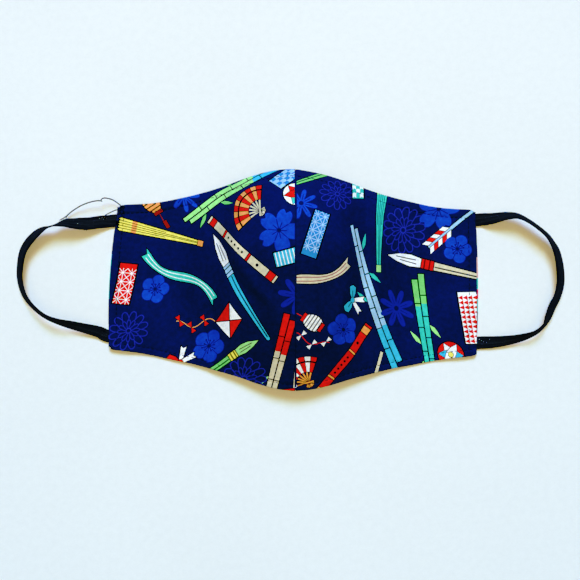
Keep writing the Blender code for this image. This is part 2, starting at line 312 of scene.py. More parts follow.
def cad_height(side, across, up):
    """The CAD's outer face, which runs on a little past its edges."""
    across = np.clip(across, -PAST_ACROSS, 1 + PAST_ACROSS)
    up = np.clip(up, -PAST_UP, 1 + PAST_UP)
    resting = PANEL_WALL + GAP
    over_hem = HEM_WALL + GAP + PANEL_WALL
    rise = PEAK_HEIGHT - resting - blend(CHIN_LIFT, NOSE_LIFT, PEAK_ALONG)
    z = blend(resting, over_hem, SEAT(across))
    z = z + LIFT(across) * blend(CHIN_LIFT, NOSE_LIFT, up)
    z = z + CROWN(across) * rise * RIDGE_RISE(up)
    for owner, centre, lean, width, share, low, high in FOLDS:
        if owner == side:
            off = (across - centre - lean * (up - 0.5)) / width
            ends = fade((up - low) / FOLD_FADE) * fade((high - up) / FOLD_FADE)
            z = z + share * PEAK_HEIGHT * np.exp(-off * off) * ends
    return z


def hem_edges(side, up):
    """Distances from the seam to the hem's outer and inner edge."""
    middle, ends = HEM_SHOW[side]
    edge = side_distance(side, up)
    return edge + blend(ends, middle, np.sin(math.pi * up) ** 2), edge - HEM_WIDTH


def anchors(side):
    """Where the elastic enters, lower first: distance from the seam, y and slant."""
    low_corner, high_corner = corners(side)
    low_inset, high_inset = ANCHOR_INSET[side]
    found = []
    for y, slant in zip((low_corner + low_inset, high_corner - high_inset), ANCHOR_SLANT[side]):
        outer, _ = hem_edges(side, (y - low_corner) / SIDE_HEIGHT[side])
        found.append((float(outer), y, slant))
    return found


# Where each flank of the dome turns down most: y, distance from the seam. The drop is spread over
# FLANK_WIDTH, and it fades out over FLANK_FADE at both ends.
FLANKS = {
    "left": Curve((-0.045, -0.016, -0.003, 0.015, 0.042), (0.012, 0.018, 0.029, 0.041, 0.050)),
    "right": Curve((-0.048, -0.025, 0.002, 0.015, 0.032), (0.018, 0.027, 0.037, 0.036, 0.031)),
}
FLANK_DROP = 0.0020
FLANK_WIDTH = 0.0065
FLANK_FADE = 0.012

# Relief of the nose and chin edges: the cloth turned under, the groove of the stitches and the gathers.
TURN_RISE, TURN_SOFTNESS = 0.22 * MM, 0.9 * MM
GROOVE_DEPTH, GROOVE_WIDTH = 0.38 * MM, 0.7 * MM
GATHER_RISE, GATHER_REACH = 0.17 * MM, 3.2 * MM
# The groove and gathers of the side edge.
SIDE_GROOVE_DEPTH, SIDE_GROOVE_WIDTH = 0.26 * MM, 0.6 * MM
SIDE_GATHER_RISE, SIDE_GATHER_REACH = 0.15 * MM, 2.6 * MM
# The seam's edges are pressed open and draw the cloth into short puckers.
PUCKER_RISE, PUCKER_REACH = 0.22 * MM, 4.0 * MM
PRESSED_RISE, PRESSED_PLACE, PRESSED_WIDTH = 0.20 * MM, 3.2 * MM, 2.2 * MM
# The elastic lies under the hem at each anchor.
ANCHOR_RISE, ANCHOR_WIDTH, ANCHOR_DEPTH, ANCHOR_FADE = 0.35 * MM, 3.6 * MM, 3.5 * MM, 3 * MM
# Soft handling creases, mostly up and down: rise, and width and length in millimetres.
BROAD_CREASE, BROAD_WIDTH, BROAD_LENGTH = 0.26 * MM, 9.0, 24.0
FINE_CREASE, FINE_WIDTH, FINE_LENGTH, FINE_SLANT = 0.10 * MM, 4.0, 11.0, 30
RELIEF_SEED = {"left": 1.0, "right": 2.0}
NORMAL_STEP = 0.15 * MM


def flank_turn(side, d, y):
    """A soft ridge and hollow on the two sides of the line where the dome's flank turns down."""
    bend = FLANKS[side]
    off = (bend(y) - d) / FLANK_WIDTH
    ends = fade((y - bend.x[0]) / FLANK_FADE) * fade((bend.x[-1] - y) / FLANK_FADE)
    return FLANK_DROP * off * np.exp(-off * off) * ends


def outer_height(side, d, y):
    """The visible cloth: the CAD's face with its hems, stitch grooves, gathers and soft creases."""
    across, up, low, high, edge = place_on(side, d, y)
    z = cad_height(side, across, up) + flank_turn(side, d, y)
    seed = RELIEF_SEED[side]
    for gap, stitch, number in ((high - y, NOSE_STITCH, 1), (y - low, CHIN_STITCH, 2)):
        z = z + TURN_RISE * (1 - fade((gap - stitch) / TURN_SOFTNESS))
        z = z - GROOVE_DEPTH * bell(gap - stitch, GROOVE_WIDTH)
        z = z + GATHER_RISE * pull(gap - stitch, GATHER_REACH) * ripple(d, seed + number)
    from_side = edge - d
    z = z - SIDE_GROOVE_DEPTH * bell(from_side - SIDE_STITCH, SIDE_GROOVE_WIDTH)
    z = z + SIDE_GATHER_RISE * pull(from_side - SIDE_STITCH, SIDE_GATHER_REACH) * ripple(y, seed + 5)
    z = z + PUCKER_RISE * pull(d, PUCKER_REACH) * ripple(y, seed + 8)
    z = z + PRESSED_RISE * bell(d - PRESSED_PLACE, PRESSED_WIDTH)
    for _, spot, _ in anchors(side):
        depth = 1 - fade((from_side - ANCHOR_DEPTH) / ANCHOR_FADE)
        z = z + ANCHOR_RISE * (bell(y - spot, ANCHOR_WIDTH) * depth)
    x, v = d / MM * SIGN[side], y / MM
    z = z + BROAD_CREASE * grain(x / BROAD_WIDTH + 20, v / BROAD_LENGTH + 9)
    return z + FINE_CREASE * grain(x / FINE_WIDTH + 5 + v / FINE_SLANT, v / FINE_LENGTH + 31)


def outer_point(side, d, y):
    """Points of the outer face in the seam's own frame: x outwards from the seam, y and z."""
    return np.stack([d, y, outer_height(side, d, y)], axis=-1)


def outer_normal(side, d, y):
    step = NORMAL_STEP
    dz_d = outer_height(side, d + step, y) - outer_height(side, d - step, y)
    dz_y = outer_height(side, d, y + step) - outer_height(side, d, y - step)
    return unit(np.stack([-dz_d / (2 * step), -dz_y / (2 * step), np.ones_like(dz_d)], axis=-1))


def to_world(side, points):
    points = np.array(points, float)
    points[..., 0] = SEAM_X + SIGN[side] * points[..., 0]
    points[..., 1] += FRAME_Y
    return points


class Cloth:
    """Lengths along a panel's cloth in millimetres: s outwards from the seam, and t up from y = 0."""

    STEP = 1.0
    D_RANGE = (-2.0, 126.0)
    Y_RANGE = (-78.0, 79.0)
    TRIES = 14
    EASE = 0.8

    def __init__(self, side):
        self.d = np.arange(*self.D_RANGE, self.STEP)
        self.y = np.arange(*self.Y_RANGE, self.STEP)
        d, y = np.meshgrid(self.d * MM, self.y * MM, indexing="ij")
        across, up, *_ = place_on(side, d, y)
        slopes = np.gradient(cad_height(side, across, up) / MM, self.STEP)
        by_d, by_y = (np.clip(slope, -1, 1) for slope in slopes)
        self.s = self.run(np.sqrt(1 + by_d**2), self.d, 0)
        self.t = self.run(np.sqrt(1 + by_y**2), self.y, 1)

    def run(self, pace, places, axis):
        """The cloth's length from place 0, where the pace is its length for each millimetre of the plan."""
        pace = np.moveaxis(pace, axis, 0)
        steps = np.cumsum((pace[1:] + pace[:-1]) / 2 * self.STEP, axis=0)
        total = np.concatenate([np.zeros_like(pace[:1]), steps])
        start = int(np.argmin(np.abs(places)))
        return np.moveaxis(total - total[start], 0, axis)

    def look_up(self, table, d, y):
        i = np.clip((d - self.d[0]) / self.STEP, 0, len(self.d) - 1.001)
        j = np.clip((y - self.y[0]) / self.STEP, 0, len(self.y) - 1.001)
        a, b = i.astype(int), j.astype(int)
        u, v = i - a, j - b
        near = blend(table[a, b], table[a + 1, b], u)
        return blend(near, blend(table[a, b + 1], table[a + 1, b + 1], u), v)

    def flat(self, d, y):
        """s and t of plan points, all in millimetres."""
        return self.look_up(self.s, d, y), self.look_up(self.t, d, y)

    def plan(self, s, t):
        """Plan points of s and t, all in millimetres."""
        d, y = np.array(s, float), np.array(t, float)
        for _ in range(self.TRIES):
            s_here, t_here = self.flat(d, y)
            d = d + self.EASE * (s - s_here)
            y = y + self.EASE * (t - t_here)
        return d, y


# The print. A motif is a list of layers, lowest first, each a polygon in millimetres and a colour's name.
# A long motif lies along x from 0 to its length, and a round one is centred on 0.

INK_WEIGHT = 1.35


def turned(points, angle=0.0, x=0.0, y=0.0):
    c, s = math.cos(math.radians(angle)), math.sin(math.radians(angle))
    return np.asarray(points, float) @ np.array([[c, s], [-s, c]]) + (x, y)


def area_of(points):
    x, y = points[:, 0], points[:, 1]
    return 0.5 * float(np.sum(x * np.roll(y, -1) - np.roll(x, -1) * y))


def grown(points, width):
    """The polygon with its sides moved outwards."""
    points = np.asarray(points, float)
    if area_of(points) < 0:
        points = points[::-1]
    side = unit(np.roll(points, -1, axis=0) - points)
    out = np.stack([side[:, 1], -side[:, 0]], axis=1)
    mean = unit(out + np.roll(out, 1, axis=0))
    reach = np.clip(np.sum(mean * out, axis=1), 0.5, 1)
    return points + mean * (width / reach)[:, None]


def strokes(points, width, colour):
    """A line of some width, as polygons that overlap at its corners."""
    if colour == "ink":
        width = width * INK_WEIGHT
    points = np.asarray(points, float)
    made = []
    for a, b in zip(points, points[1:]):
        run = (b - a) / max(np.linalg.norm(b - a), 1e-9)
        off = np.array([-run[1], run[0]]) * width / 2
        a, b = a - run * width / 4, b + run * width / 4
        made.append((np.array([a - off, b - off, b + off, a + off]), colour))
    return made


def line(start, end, width, colour="ink"):
    return strokes([start, end], width, colour)


def bar(x, half, width, colour="ink"):
    return line((x, -half), (x, half), width, colour)


def ring(x, y, r, n=18, squash=1.0):
    a = np.arange(n) * 2 * math.pi / n
    return np.stack([x + r * np.cos(a), y + r * squash * np.sin(a)], axis=1)


def sector(r0, r1, a0, a1, n=4):
    a = np.radians(np.linspace(a0, a1, n))
    outer = np.stack([r1 * np.cos(a), r1 * np.sin(a)], axis=1)
    inner = np.stack([r0 * np.cos(a[::-1]), r0 * np.sin(a[::-1])], axis=1)
    return np.concatenate([outer, inner])


def box(x0, y0, x1, y1):
    return np.array([(x0, y0), (x1, y0), (x1, y1), (x0, y1)], float)


def plain(points, colour):
    return [(np.asarray(points, float), colour)]


def inked(points, colour, width=0.55):
    return plain(grown(points, width), "ink") + plain(points, colour)


def moved(layers, angle=0.0, x=0.0, y=0.0):
    return [(turned(points, angle, x, y), colour) for points, colour in layers]


def turns(count, first=0, shift=0):
    """Angles all the way round."""
    return [first + 360 * (k + shift) / count for k in range(count)]


def spun(layers, angles):
    """The layers once for each angle."""
    return [layer for angle in angles for layer in moved(layers, angle)]


def brush(length, handle, band, tip, wide=1.0):
    """A paint brush: a tapering handle with a long highlight, a banded ferrule and a pointed tip."""
    neck, collar = 0.62 * length, 0.72 * length
    layers = inked([(0, -0.9), (neck, -2.2), (neck, 2.2), (0, 0.9), (-0.7, 0.5), (-0.7, -0.5)], handle)
    layers += line((1.5, 0.2), (neck - 1, 0.4), 0.5)
    layers += inked(box(neck, -2.5, collar, 2.5), band)
    for share in (0.3, 0.7):
        layers += bar(blend(neck, collar, share), 2.4, 0.5)
    hair = ((0, -2.4), (0.3, -3.2), (0.62, -2.4), (1, 0.4), (0.7, 2.1), (0.3, 3.2), (0, 2.4))
    t = length - collar
    layers += inked([(collar + share * t, y) for share, y in hair], tip)
    for start, stop, y0, y1 in ((0.15, 0.72, -1.0, -0.4), (0.12, 0.6, 1.1, 0.9)):
        layers += line((collar + start * t, y0), (collar + stop * t, y1), 0.35)
    return [(points * (1, wide), colour) for points, colour in layers]


def bamboo_rod(x0, x1, sign, length):
    """A piece of one stalk, which leans away from the other and widens."""
    rows = [(x, sign * blend(1.55, 2.25, x / length), blend(1.15, 1.85, x / length)) for x in (x0, x1)]
    return [(x, y - half) for x, y, half in rows] + [(x, y + half) for x, y, half in reversed(rows)]


def bamboo(length, stalk, end, leaf):
    """Two stalks side by side that spread a little, with nodes, coloured ends and some leaves."""
    layers = []
    for sign, start, stop in ((-1, 0.0, length), (1, 3.0, length - 3.5)):
        layers += inked(bamboo_rod(start, stop, sign, length), stalk)
        layers += plain(bamboo_rod(blend(start, stop, 0.72), stop, sign, length), end)
        steps = max(3, int((stop - start) / 13))
        for k in range(1, steps):
            x = blend(start, stop, k / steps)
            y = sign * blend(1.55, 2.25, x / length)
            layers += line((x, y - 1.9), (x, y + 1.9), 0.5)
    blade = inked([(0, 0), (3, 1.3), (6.5, 1), (10, 0), (6, -1.1), (3, -1.2)], leaf, 0.35)
    for share, angle in ((0.18, 150), (0.34, 35), (0.52, -145)):
        layers += moved(blade, angle, share * length, 3.6 if angle > 0 else -3.6)
    return layers


def umbrella(length, canopy, trim, grip):
    """A furled paper umbrella: a long pleated cone with a trimmed hem, a handle and a cap."""
    hem, top = 0.24 * length, 0.96 * length
    layers = inked(box(0, -0.9, hem + 2, 0.9), grip, 0.38)
    layers += inked(box(0, -1.5, 0.07 * length, 1.5), trim, 0.38)
    pleats = [-4.0 + 8.0 * k / 5 for k in range(6)]
    cone = [(hem, pleats[0])]
    for y0, y1 in zip(pleats, pleats[1:]):
        cone += [(hem - 1.1, (y0 + y1) / 2), (hem, y1)]
    cone += [(top, 1.3), (top, -1.3)]
    layers += inked(cone[::-1], canopy)
    x = hem + 0.10 * length
    half = blend(4.0, 1.3, (x - hem) / (top - hem))
    layers += plain([(x, -half), (x + 3.2, -half + 0.12), (x + 3.2, half - 0.12), (x, half)], trim)
    for y, stop in zip(pleats[1:], (0.55, 1.0, 1.0, 0.55)):
        layers += line((hem, y), (blend(hem, top, stop), blend(y, y * 1.3 / 4, stop)), 0.25)
    return layers + inked(box(top - 1, -1.7, length, 1.7), trim, 0.38)


def arrow(length, shaft, feather, tip):
    """An arrow with chevron fletching."""
    layers = inked(box(3, -1.0, length - 6, 1.0), shaft)
    for k in range(5):
        x = 3.5 + 3.4 * k
        for sign in (-1, 1):
            low, high = sign * 0.9, sign * 4.0
            vane = [(x, low), (x + 3.1, low), (x + 0.6, high), (x - 2.5, high)]
            layers += inked(vane[::-sign], feather if k % 2 else "white", 0.34)
    return layers + inked([(length - 7, -2.6), (length, 0), (length - 7, 2.6), (length - 5.5, 0)], tip)


def flute(length, pipe, band):
    """A bamboo flute with bound ends and finger holes."""
    layers = inked(box(0, -2.4, length, 2.4), pipe)
    for x, wide in ((1.5, 4.0), (0.24 * length, 1.8), (0.62 * length, 1.8), (length - 6.5, 5.0)):
        layers += plain(box(x, -2.4, x + wide, 2.4), band)
        layers += bar(x, 2.4, 0.4) + bar(x + wide, 2.4, 0.4)
    for k in range(5):
        layers += plain(ring((0.32 + 0.058 * k) * length, 0, 0.8, 10), "ink")
    return layers + plain(ring(0.76 * length, 0, 1.0, 10), "ink")


def ribbon(length, colour, edge):
    """A waving ribbon with a stripe along its middle and notched ends."""
    x = np.linspace(0, length, 22)
    y = 3.6 * np.sin(x / length * 2 * math.pi)
    wide = 2.4 + 0.5 * np.cos(x / length * 4 * math.pi)
    upper, lower = np.stack([x, y + wide], axis=1), np.stack([x, y - wide], axis=1)
    layers = inked(np.concatenate([lower, [(length - 2.0, y[-1])], upper[::-1], [(2.0, y[0])]]), colour)
    for share in (-0.45, 0.45):
        layers += strokes(np.stack([x, y + share * wide], axis=1)[1:-1], 0.5, edge)
    return layers


def fan(radius, first, second, rib):
    """A folding fan: blades in two colours over a fan of ribs."""
    layers = spun(inked(box(-3.5, -0.5, 0.5 * radius, 0.5), rib, 0.3), range(-60, 61, 20))
    inner, half, blades = 0.42 * radius, 66, 10
    layers += plain(grown(sector(inner, radius, -half, half, 14), 0.42), "ink")
    edges = [-half + 2 * half * k / blades for k in range(blades + 1)]
    for k in range(blades):
        layers += plain(sector(inner, radius, edges[k] + 0.7, edges[k + 1] - 0.7), (first, second)[k % 2])
    layers += plain(sector(0.78 * radius, 0.84 * radius, -half, half, 14), "ink")
    return layers + inked(ring(-2.6, 0, 0.9, 10), rib, 0.3)


def pinwheel(radius, first, second, stick):
    """A paper windmill on its stick."""
    layers = inked(box(0, -0.9, 3.4 * radius, 0.9), stick, 0.38)
    corner = (0.55 * radius, 0.62 * radius)
    blade = inked([(0, 0), (radius, 0), corner], first)
    flap = inked([(0, 0), corner, (0.08 * radius, 0.52 * radius)], second)
    return layers + spun(blade + flap, turns(4, 45)) + inked(ring(0, 0, 1.1, 10), "yellow", 0.3)


def kite(size, first, second, tail):
    """A diamond kite with a wavy tail."""
    nose, back, up, down = (size * 0.7, 0), (-size * 0.55, 0), (0, size * 0.72), (0, -size * 0.72)
    x = np.linspace(nose[0], nose[0] + 26, 14)
    y = 2.4 * np.sin((x - nose[0]) / 26 * 2.6 * math.pi)
    layers = strokes(np.stack([x, y], axis=1), 0.55, tail)
    half_bow = inked([(0, 0), (3.4, 1.5), (3.4, -1.5)], second, 0.3)
    for k in (4, 8, 12):
        layers += moved(half_bow, 60, x[k], y[k]) + moved(half_bow, 240, x[k], y[k])
    layers += inked([nose, up, back, down], first)
    layers += plain([(0, 0), nose, up], second) + plain([(0, 0), back, down], second)
    return layers + line(nose, back, 0.5) + line(up, down, 0.5)


def arrow_marks(length, width, mark):
    run, tip = 3.4, 0.9
    rows = max(2, int(width / 2.6))
    tall = width / rows
    layers = []
    for r in range(rows):
        low = -width / 2 + r * tall
        middle, high = low + tall / 2, low + tall
        for k in range(r % 2, int(length / run), 2):
            x0 = k * run + 0.5
            x1 = min(x0 + run, length - 0.8)
            shape = [(x0, low), (x1, low), (x1 + tip * 0.7, middle)]
            shape += [(x1, high), (x0, high), (x0 + tip, middle)]
            layers += plain(shape, mark)
    return layers


def scale_marks(length, width, mark):
    tall = width / 4
    layers = []
    for r in range(4):
        for k in range(int(length / tall)):
            x, y = k * tall, -width / 2 + r * tall
            layers += plain([(x, y), (x + tall, y), (x + tall / 2, y + tall)], mark)
    return layers


def star_marks(length, width, mark):
    pitch = width / 2
    layers = []
    for r in range(2):
        for k in range(int(length / pitch)):
            for angle in range(0, 180, 45):
                reach = pitch / 2 * (1.38 if angle % 90 else 1)
                ray = line((-reach, 0), (reach, 0), 0.4, mark)
                layers += moved(ray, angle, (k + 0.5) * pitch, -width / 2 + (r + 0.5) * pitch)
    return layers


def bar_marks(length, width, mark):
    pitch = 2.2
    layers = []
    for k in range(int(length / pitch)):
        layers += bar(pitch / 2 + k * pitch, width / 2 - 0.5, 0.6, mark)
    return layers


def strip(length, width, ground, mark, marks):
    """A paper strip with a traditional all-over pattern."""
    half = width / 2
    layers = inked(box(0, -half, length, half), ground) + marks(length, width, mark)
    return layers + line((0, -half), (length, -half), 0.4) + line((0, half), (length, half), 0.4)


def lantern(height, body, cap):
    """A paper lantern with ribs, caps and a tassel."""
    half, wide = height * 0.46, height * 0.36
    layers = line((height * 0.5, 0), (height * 0.5 + 7, 0.6), 0.5, cap)
    layers += inked(box(height * 0.5 + 6, -1.1, height * 0.5 + 11, 1.1), cap, 0.3)
    layers += inked(ring(0, 0, half, 22, squash=wide / half), body)
    for x in np.linspace(-0.3, 0.3, 5) * height:
        layers += bar(x, wide * math.sqrt(max(0.05, 1 - (x / half) ** 2)), 0.45)
    for x in (-0.47 * height, 0.43 * height):
        layers += inked(box(x, -wide * 0.55, x + 1.8, wide * 0.55), cap, 0.35)
    return layers


def ball(radius, ground, first, second):
    """A thread ball with crossing bands."""
    layers = inked(ring(0, 0, radius, 24), ground)
    upper = [(-0.96, 0), (-0.5, 0.26), (0, 0.36), (0.5, 0.26)]
    leaf = radius * np.array(upper + [(-x, -y) for x, y in upper])
    for angle, colour in ((0, first), (60, second), (120, first)):
        layers += moved(inked(leaf, colour, 0.28), angle)
    return layers + inked(ring(0, 0, radius * 0.2, 10), "yellow", 0.25)


def bow(size, colour, tail):
    """A tied ribbon bow."""
    end = [(0, -1.0), (size * 1.25, -1.7), (size * 1.1, 0), (size * 1.25, 1.7), (0, 1.0)]
    loop = [(0, 0), (size * 0.5, 2.6), (size, 3.0), (size * 1.15, 0.4), (size, -2.2), (size * 0.5, -1.9)]
    crease = line((1.0, 0.1), (size * 0.7, 0.5), 0.4)
    layers = spun(inked(end, tail), (-118, -62)) + spun(inked(loop, colour) + crease, (20, 160))
    return layers + inked(ring(0, 0, 1.7, 12), colour, 0.35)


def petal(length, width, notch=0.0, n=9):
    """One petal from its base at the origin out along x, with a notch in its tip."""
    t = np.linspace(0, math.pi, n)
    x = length * (0.5 - 0.5 * np.cos(t))
    y = width / 2 * np.sin(t) ** 0.8 * (0.55 + 0.45 * (x / length))
    lower, upper = np.stack([x, -y], axis=1), np.stack([x, y], axis=1)
    return np.concatenate([lower[:-1], [(length - notch, 0)], upper[::-1][1:-1]])


def plum(radius, colour, mark):
    layers = []
    for angle in turns(5, 90):
        a = math.radians(angle)
        x, y = 0.56 * radius * math.cos(a), 0.56 * radius * math.sin(a)
        layers += plain(ring(x, y, 0.44 * radius, 16), colour)
    layers += plain(ring(0, 0, 0.4 * radius, 12), colour)
    layers += spun(line((0.30 * radius, 0), (0.86 * radius, 0), 0.35, mark), turns(5, 126))
    for k, angle in enumerate(turns(10)):
        reach = (0.42 if k % 2 else 0.32) * radius
        stamen = line((0.14 * radius, 0), (reach, 0), 0.4, mark) + plain(ring(reach, 0, 0.5, 8), mark)
        layers += moved(stamen, angle)
    return layers + plain(ring(0, 0, 0.13 * radius, 10), mark)


def cherry(radius, colour, mark):
    layers = spun(plain(petal(radius, 0.86 * radius, 0.16 * radius, 13), colour), turns(5, 90))
    for k, angle in enumerate(turns(10, 90)):
        reach = (0.5 if k % 2 else 0.36) * radius
        layers += moved(line((0.1 * radius, 0), (reach, 0), 0.36, mark), angle)
    return layers + plain(ring(0, 0, 0.1 * radius, 10), mark)


def daisy(radius, colour, mark, petals=8):
    layers = spun(plain(petal(radius, 0.36 * radius), colour), turns(petals))
    layers += spun(line((0.25 * radius, 0), (0.62 * radius, 0), 0.3, mark), turns(petals))
    return layers + plain(ring(0, 0, 0.14 * radius, 10), mark)


def mum(radius, colour, ground, petals=14):
    """A many-petalled flower drawn in outline."""
    outer = petal(radius, 0.42 * radius, 0, 11)
    inner = petal(0.56 * radius, 0.22 * radius)
    layers = []
    for shape, half, shift in ((outer, 0.24, 0), (inner, 0.2, 0.5)):
        drawn = plain(grown(shape, half), colour) + plain(grown(shape, -half), ground)
        layers += spun(drawn, turns(petals, 0, shift))
    layers += plain(ring(0, 0, 0.15 * radius, 12), colour)
    return layers + plain(ring(0, 0, 0.10 * radius, 12), ground)


# The motifs: what draws one, the radius of its discs, which keep the others away, its size and its colours.
BRIGHT = {
    "left": (
        (bamboo, 4.6, 90, "cream", "red", "lime"),
        (brush, 4.0, 78, "cyan", "sky", "white", 1.15),
        (umbrella, 4.4, 72, "yellow", "orange", "ink"),
        (bamboo, 4.6, 84, "lime", "cyan", "green"),
        (fan, 13, 19, "orange", "red", "cream"),
        (kite, 11, 16, "white", "red", "orange"),
        (ribbon, 6.0, 58, "teal", "white"),
        (flute, 3.2, 62, "cream", "red"),
        (strip, 6.0, 30, 11, "sky", "azure", arrow_marks),
        (pinwheel, 11, 11, "red", "white", "cream"),
        (strip, 6.0, 25, 11, "red", "white", star_marks),
        (arrow, 3.6, 66, "cream", "azure", "sky"),
        (lantern, 7.5, 15, "orange", "brick"),
        (ball, 9.0, 8.5, "white", "red", "teal"),
        (brush, 3.4, 58, "green", "yellow", "lime"),
        (strip, 5.0, 22, 9, "cyan", "white", bar_marks),
        (bow, 9.0, 8, "red", "white"),
    ),
    "right": (
        (bamboo, 4.6, 92, "sky", "cyan", "teal"),
        (umbrella, 4.4, 80, "teal", "lime", "cream"),
        (brush, 4.0, 82, "cream", "red", "white", 1.15),
        (flute, 3.2, 60, "red", "orange"),
        (ribbon, 6.0, 60, "cream", "brick"),
        (strip, 6.4, 32, 12, "white", "red", scale_marks),
        (bamboo, 4.6, 66, "teal", "green", "lime"),
        (fan, 12.5, 18, "red", "white", "orange"),
        (arrow, 3.6, 70, "sky", "red", "white"),
        (pinwheel, 11, 11, "cyan", "white", "cream"),
        (strip, 5.6, 28, 10, "azure", "sky", star_marks),
        (kite, 10, 15, "orange", "white", "red"),
        (brush, 3.4, 60, "green", "white", "yellow"),
        (ball, 8.6, 8, "red", "white", "cyan"),
        (strip, 5.0, 24, 9, "teal", "white", arrow_marks),
        (lantern, 7, 14, "white", "red"),
        (bow, 9.0, 8, "cyan", "white"),
    ),
}
SOFT = (
    (mum, 13.0, 14.5, "line", "navy"),
    (cherry, 11.4, 13.5, "petal", "navy"),
    (plum, 9.6, 10.5, "petal", "navy"),
    (daisy, 9.6, 12, "petal_deep", "navy"),
    (mum, 10.8, 12, "line", "navy", 12),
    (plum, 8.2, 9, "petal", "navy"),
    (daisy, 8.6, 10.5, "petal", "navy"),
)
LONG_MOTIFS = (bamboo, brush, umbrella, flute, ribbon, strip, arrow)
TAIL = (16, 21, 26, 31, 36)
MORE_DISCS = {
    fan: [(-2, 0, 3)],
    kite: [(x, 0, 4.0) for x in TAIL],
    pinwheel: [(x, 0, 1.8) for x in TAIL],
    lantern: [(9, 0, 2), (15, 0, 2)],
}
FAN_MIDDLE = 9
LAYOUT_SEED = {"left": 5, "right": 8}
LAYOUT_TRIES = 700
# How far past the seam and past the side edge a motif's middle may lie, and how far above and below the
# middle of the panel, which narrows from NARROW_FROM over NARROW_RUN. All are millimetres.
PAST_SEAM, PAST_SIDE = 3, 9
SEAM_SPREAD, SIDE_SPREAD = 72, 47
NARROW_FROM, NARROW_RUN = 15, 80
# What counts against a place, for each millimetre of overlap and of empty room, and the part of chance.
OVERLAP_COST, ROOM_COST, CHANCE = 5, 0.12, 0.4
MOST_OVERLAP = 1.0


def catalogue(side):
    """A panel's motifs in the order of their placing: three bright ones, then one soft to two bright."""
    bright, soft = list(BRIGHT[side]), list(SOFT)
    order, bright = bright[:3], bright[3:]
    while bright or soft:
        order += soft[:1] + bright[:2]
        bright, soft = bright[2:], soft[1:]
    return order


def discs_of(draw, half, length):
    """The discs that a motif fills, each as x, y and radius."""
    if draw in LONG_MOTIFS:
        return np.array([(x, 0.0, half) for x in np.arange(0, length + 0.1, 4.0)])
    return np.array([(FAN_MIDDLE if draw is fan else 0, 0, half), *MORE_DISCS.get(draw, ())], float)


def layout(side):
    """Puts each motif, in cloth millimetres, where it comes close to the others without touching them."""
    dice = np.random.default_rng(LAYOUT_SEED[side])
    reach = PANEL_REACH[side] / MM + PAST_SIDE
    taken, layers = np.zeros((0, 3)), []
    for draw, half, *details in catalogue(side):
        discs = discs_of(draw, half, details[0])
        middle = discs[:, :2].mean(axis=0)
        best, best_score = None, -1e9
        for _ in range(LAYOUT_TRIES):
            s = dice.uniform(-PAST_SEAM, reach)
            narrowing = min(max((s - NARROW_FROM) / NARROW_RUN, 0), 1)
            span = blend(SEAM_SPREAD, SIDE_SPREAD, narrowing)
            t = dice.uniform(-span, span)
            angle = dice.uniform(0, 360)
            spots = turned(discs[:, :2] - middle, angle, s, t)
            room = 1.0
            if len(taken):
                gaps = np.linalg.norm(spots[:, None] - taken[None, :, :2], axis=2)
                room = float((gaps - discs[:, None, 2] - taken[None, :, 2]).min())
            score = OVERLAP_COST * min(room, 0) - ROOM_COST * max(room - 1, 0) + CHANCE * dice.uniform()
            if score > best_score:
                best, best_score = (s, t, angle, spots, room), score
        s, t, angle, spots, room = best
        if room >= -MOST_OVERLAP:
            taken = np.concatenate([taken, np.column_stack([spots, discs[:, 2]])])
            layers += [(turned(points - middle, angle, s, t), colour) for points, colour in draw(*details)]
    return layers


# Meshes. Plan points are in millimetres, and so are the pitches, PRINT_SIDE and SEAM_RIM.

OUTLINE_PITCH = 0.9
GRID_PITCH = 1.0
GRID_INSET = 0.4 * MM
LINING_PITCH = 2.4
LINING_INSET = 1.2 * MM
LINING_UV_SHIFT = (140.0, 0)
PRINT_SIDE = 3.0
TINY_AREA = 1e-7
MERGE_DISTANCE = 1e-4
SAME_PLACE = 4  # decimals
BOX_SPARE = 1e-3
RIM_TURNS = 5
RIM_UV_STEP = 0.35
SEAM_RIM = 1.2
UV_SCALE = 0.01


def winding(points, polygon):
    """How often the polygon runs round each point."""
    x, y = points[:, 0], points[:, 1]
    total = np.zeros(len(points), int)
    for a, b in zip(polygon, np.roll(polygon, -1, axis=0)):
        if a[1] == b[1]:
            continue
        side = (b[0] - a[0]) * (y - a[1]) - (x - a[0]) * (b[1] - a[1])
        total += ((a[1] <= y) & (b[1] > y) & (side > 0)).astype(int)
        total -= ((a[1] > y) & (b[1] <= y) & (side < 0)).astype(int)
    return total


def inside(points, polygon):
    return winding(points, polygon) != 0


def refined(points, longest):
    """The polygon with its long sides split."""
    made = []
    for a, b in zip(points, np.roll(points, -1, axis=0)):
        n = max(1, math.ceil(np.linalg.norm(b - a) / longest))
        made += [a + (b - a) * k / n for k in range(n)]
    return np.array(made)


def border(side, across, at_nose, inset):
    """Distance from the seam and y along the nose or chin edge, some way inside it."""
    low, high = edges_at(side, across)
    d = side_distance(side, np.full_like(across, float(at_nose))) * (1 - across)
    return d, high - inset if at_nose else low + inset


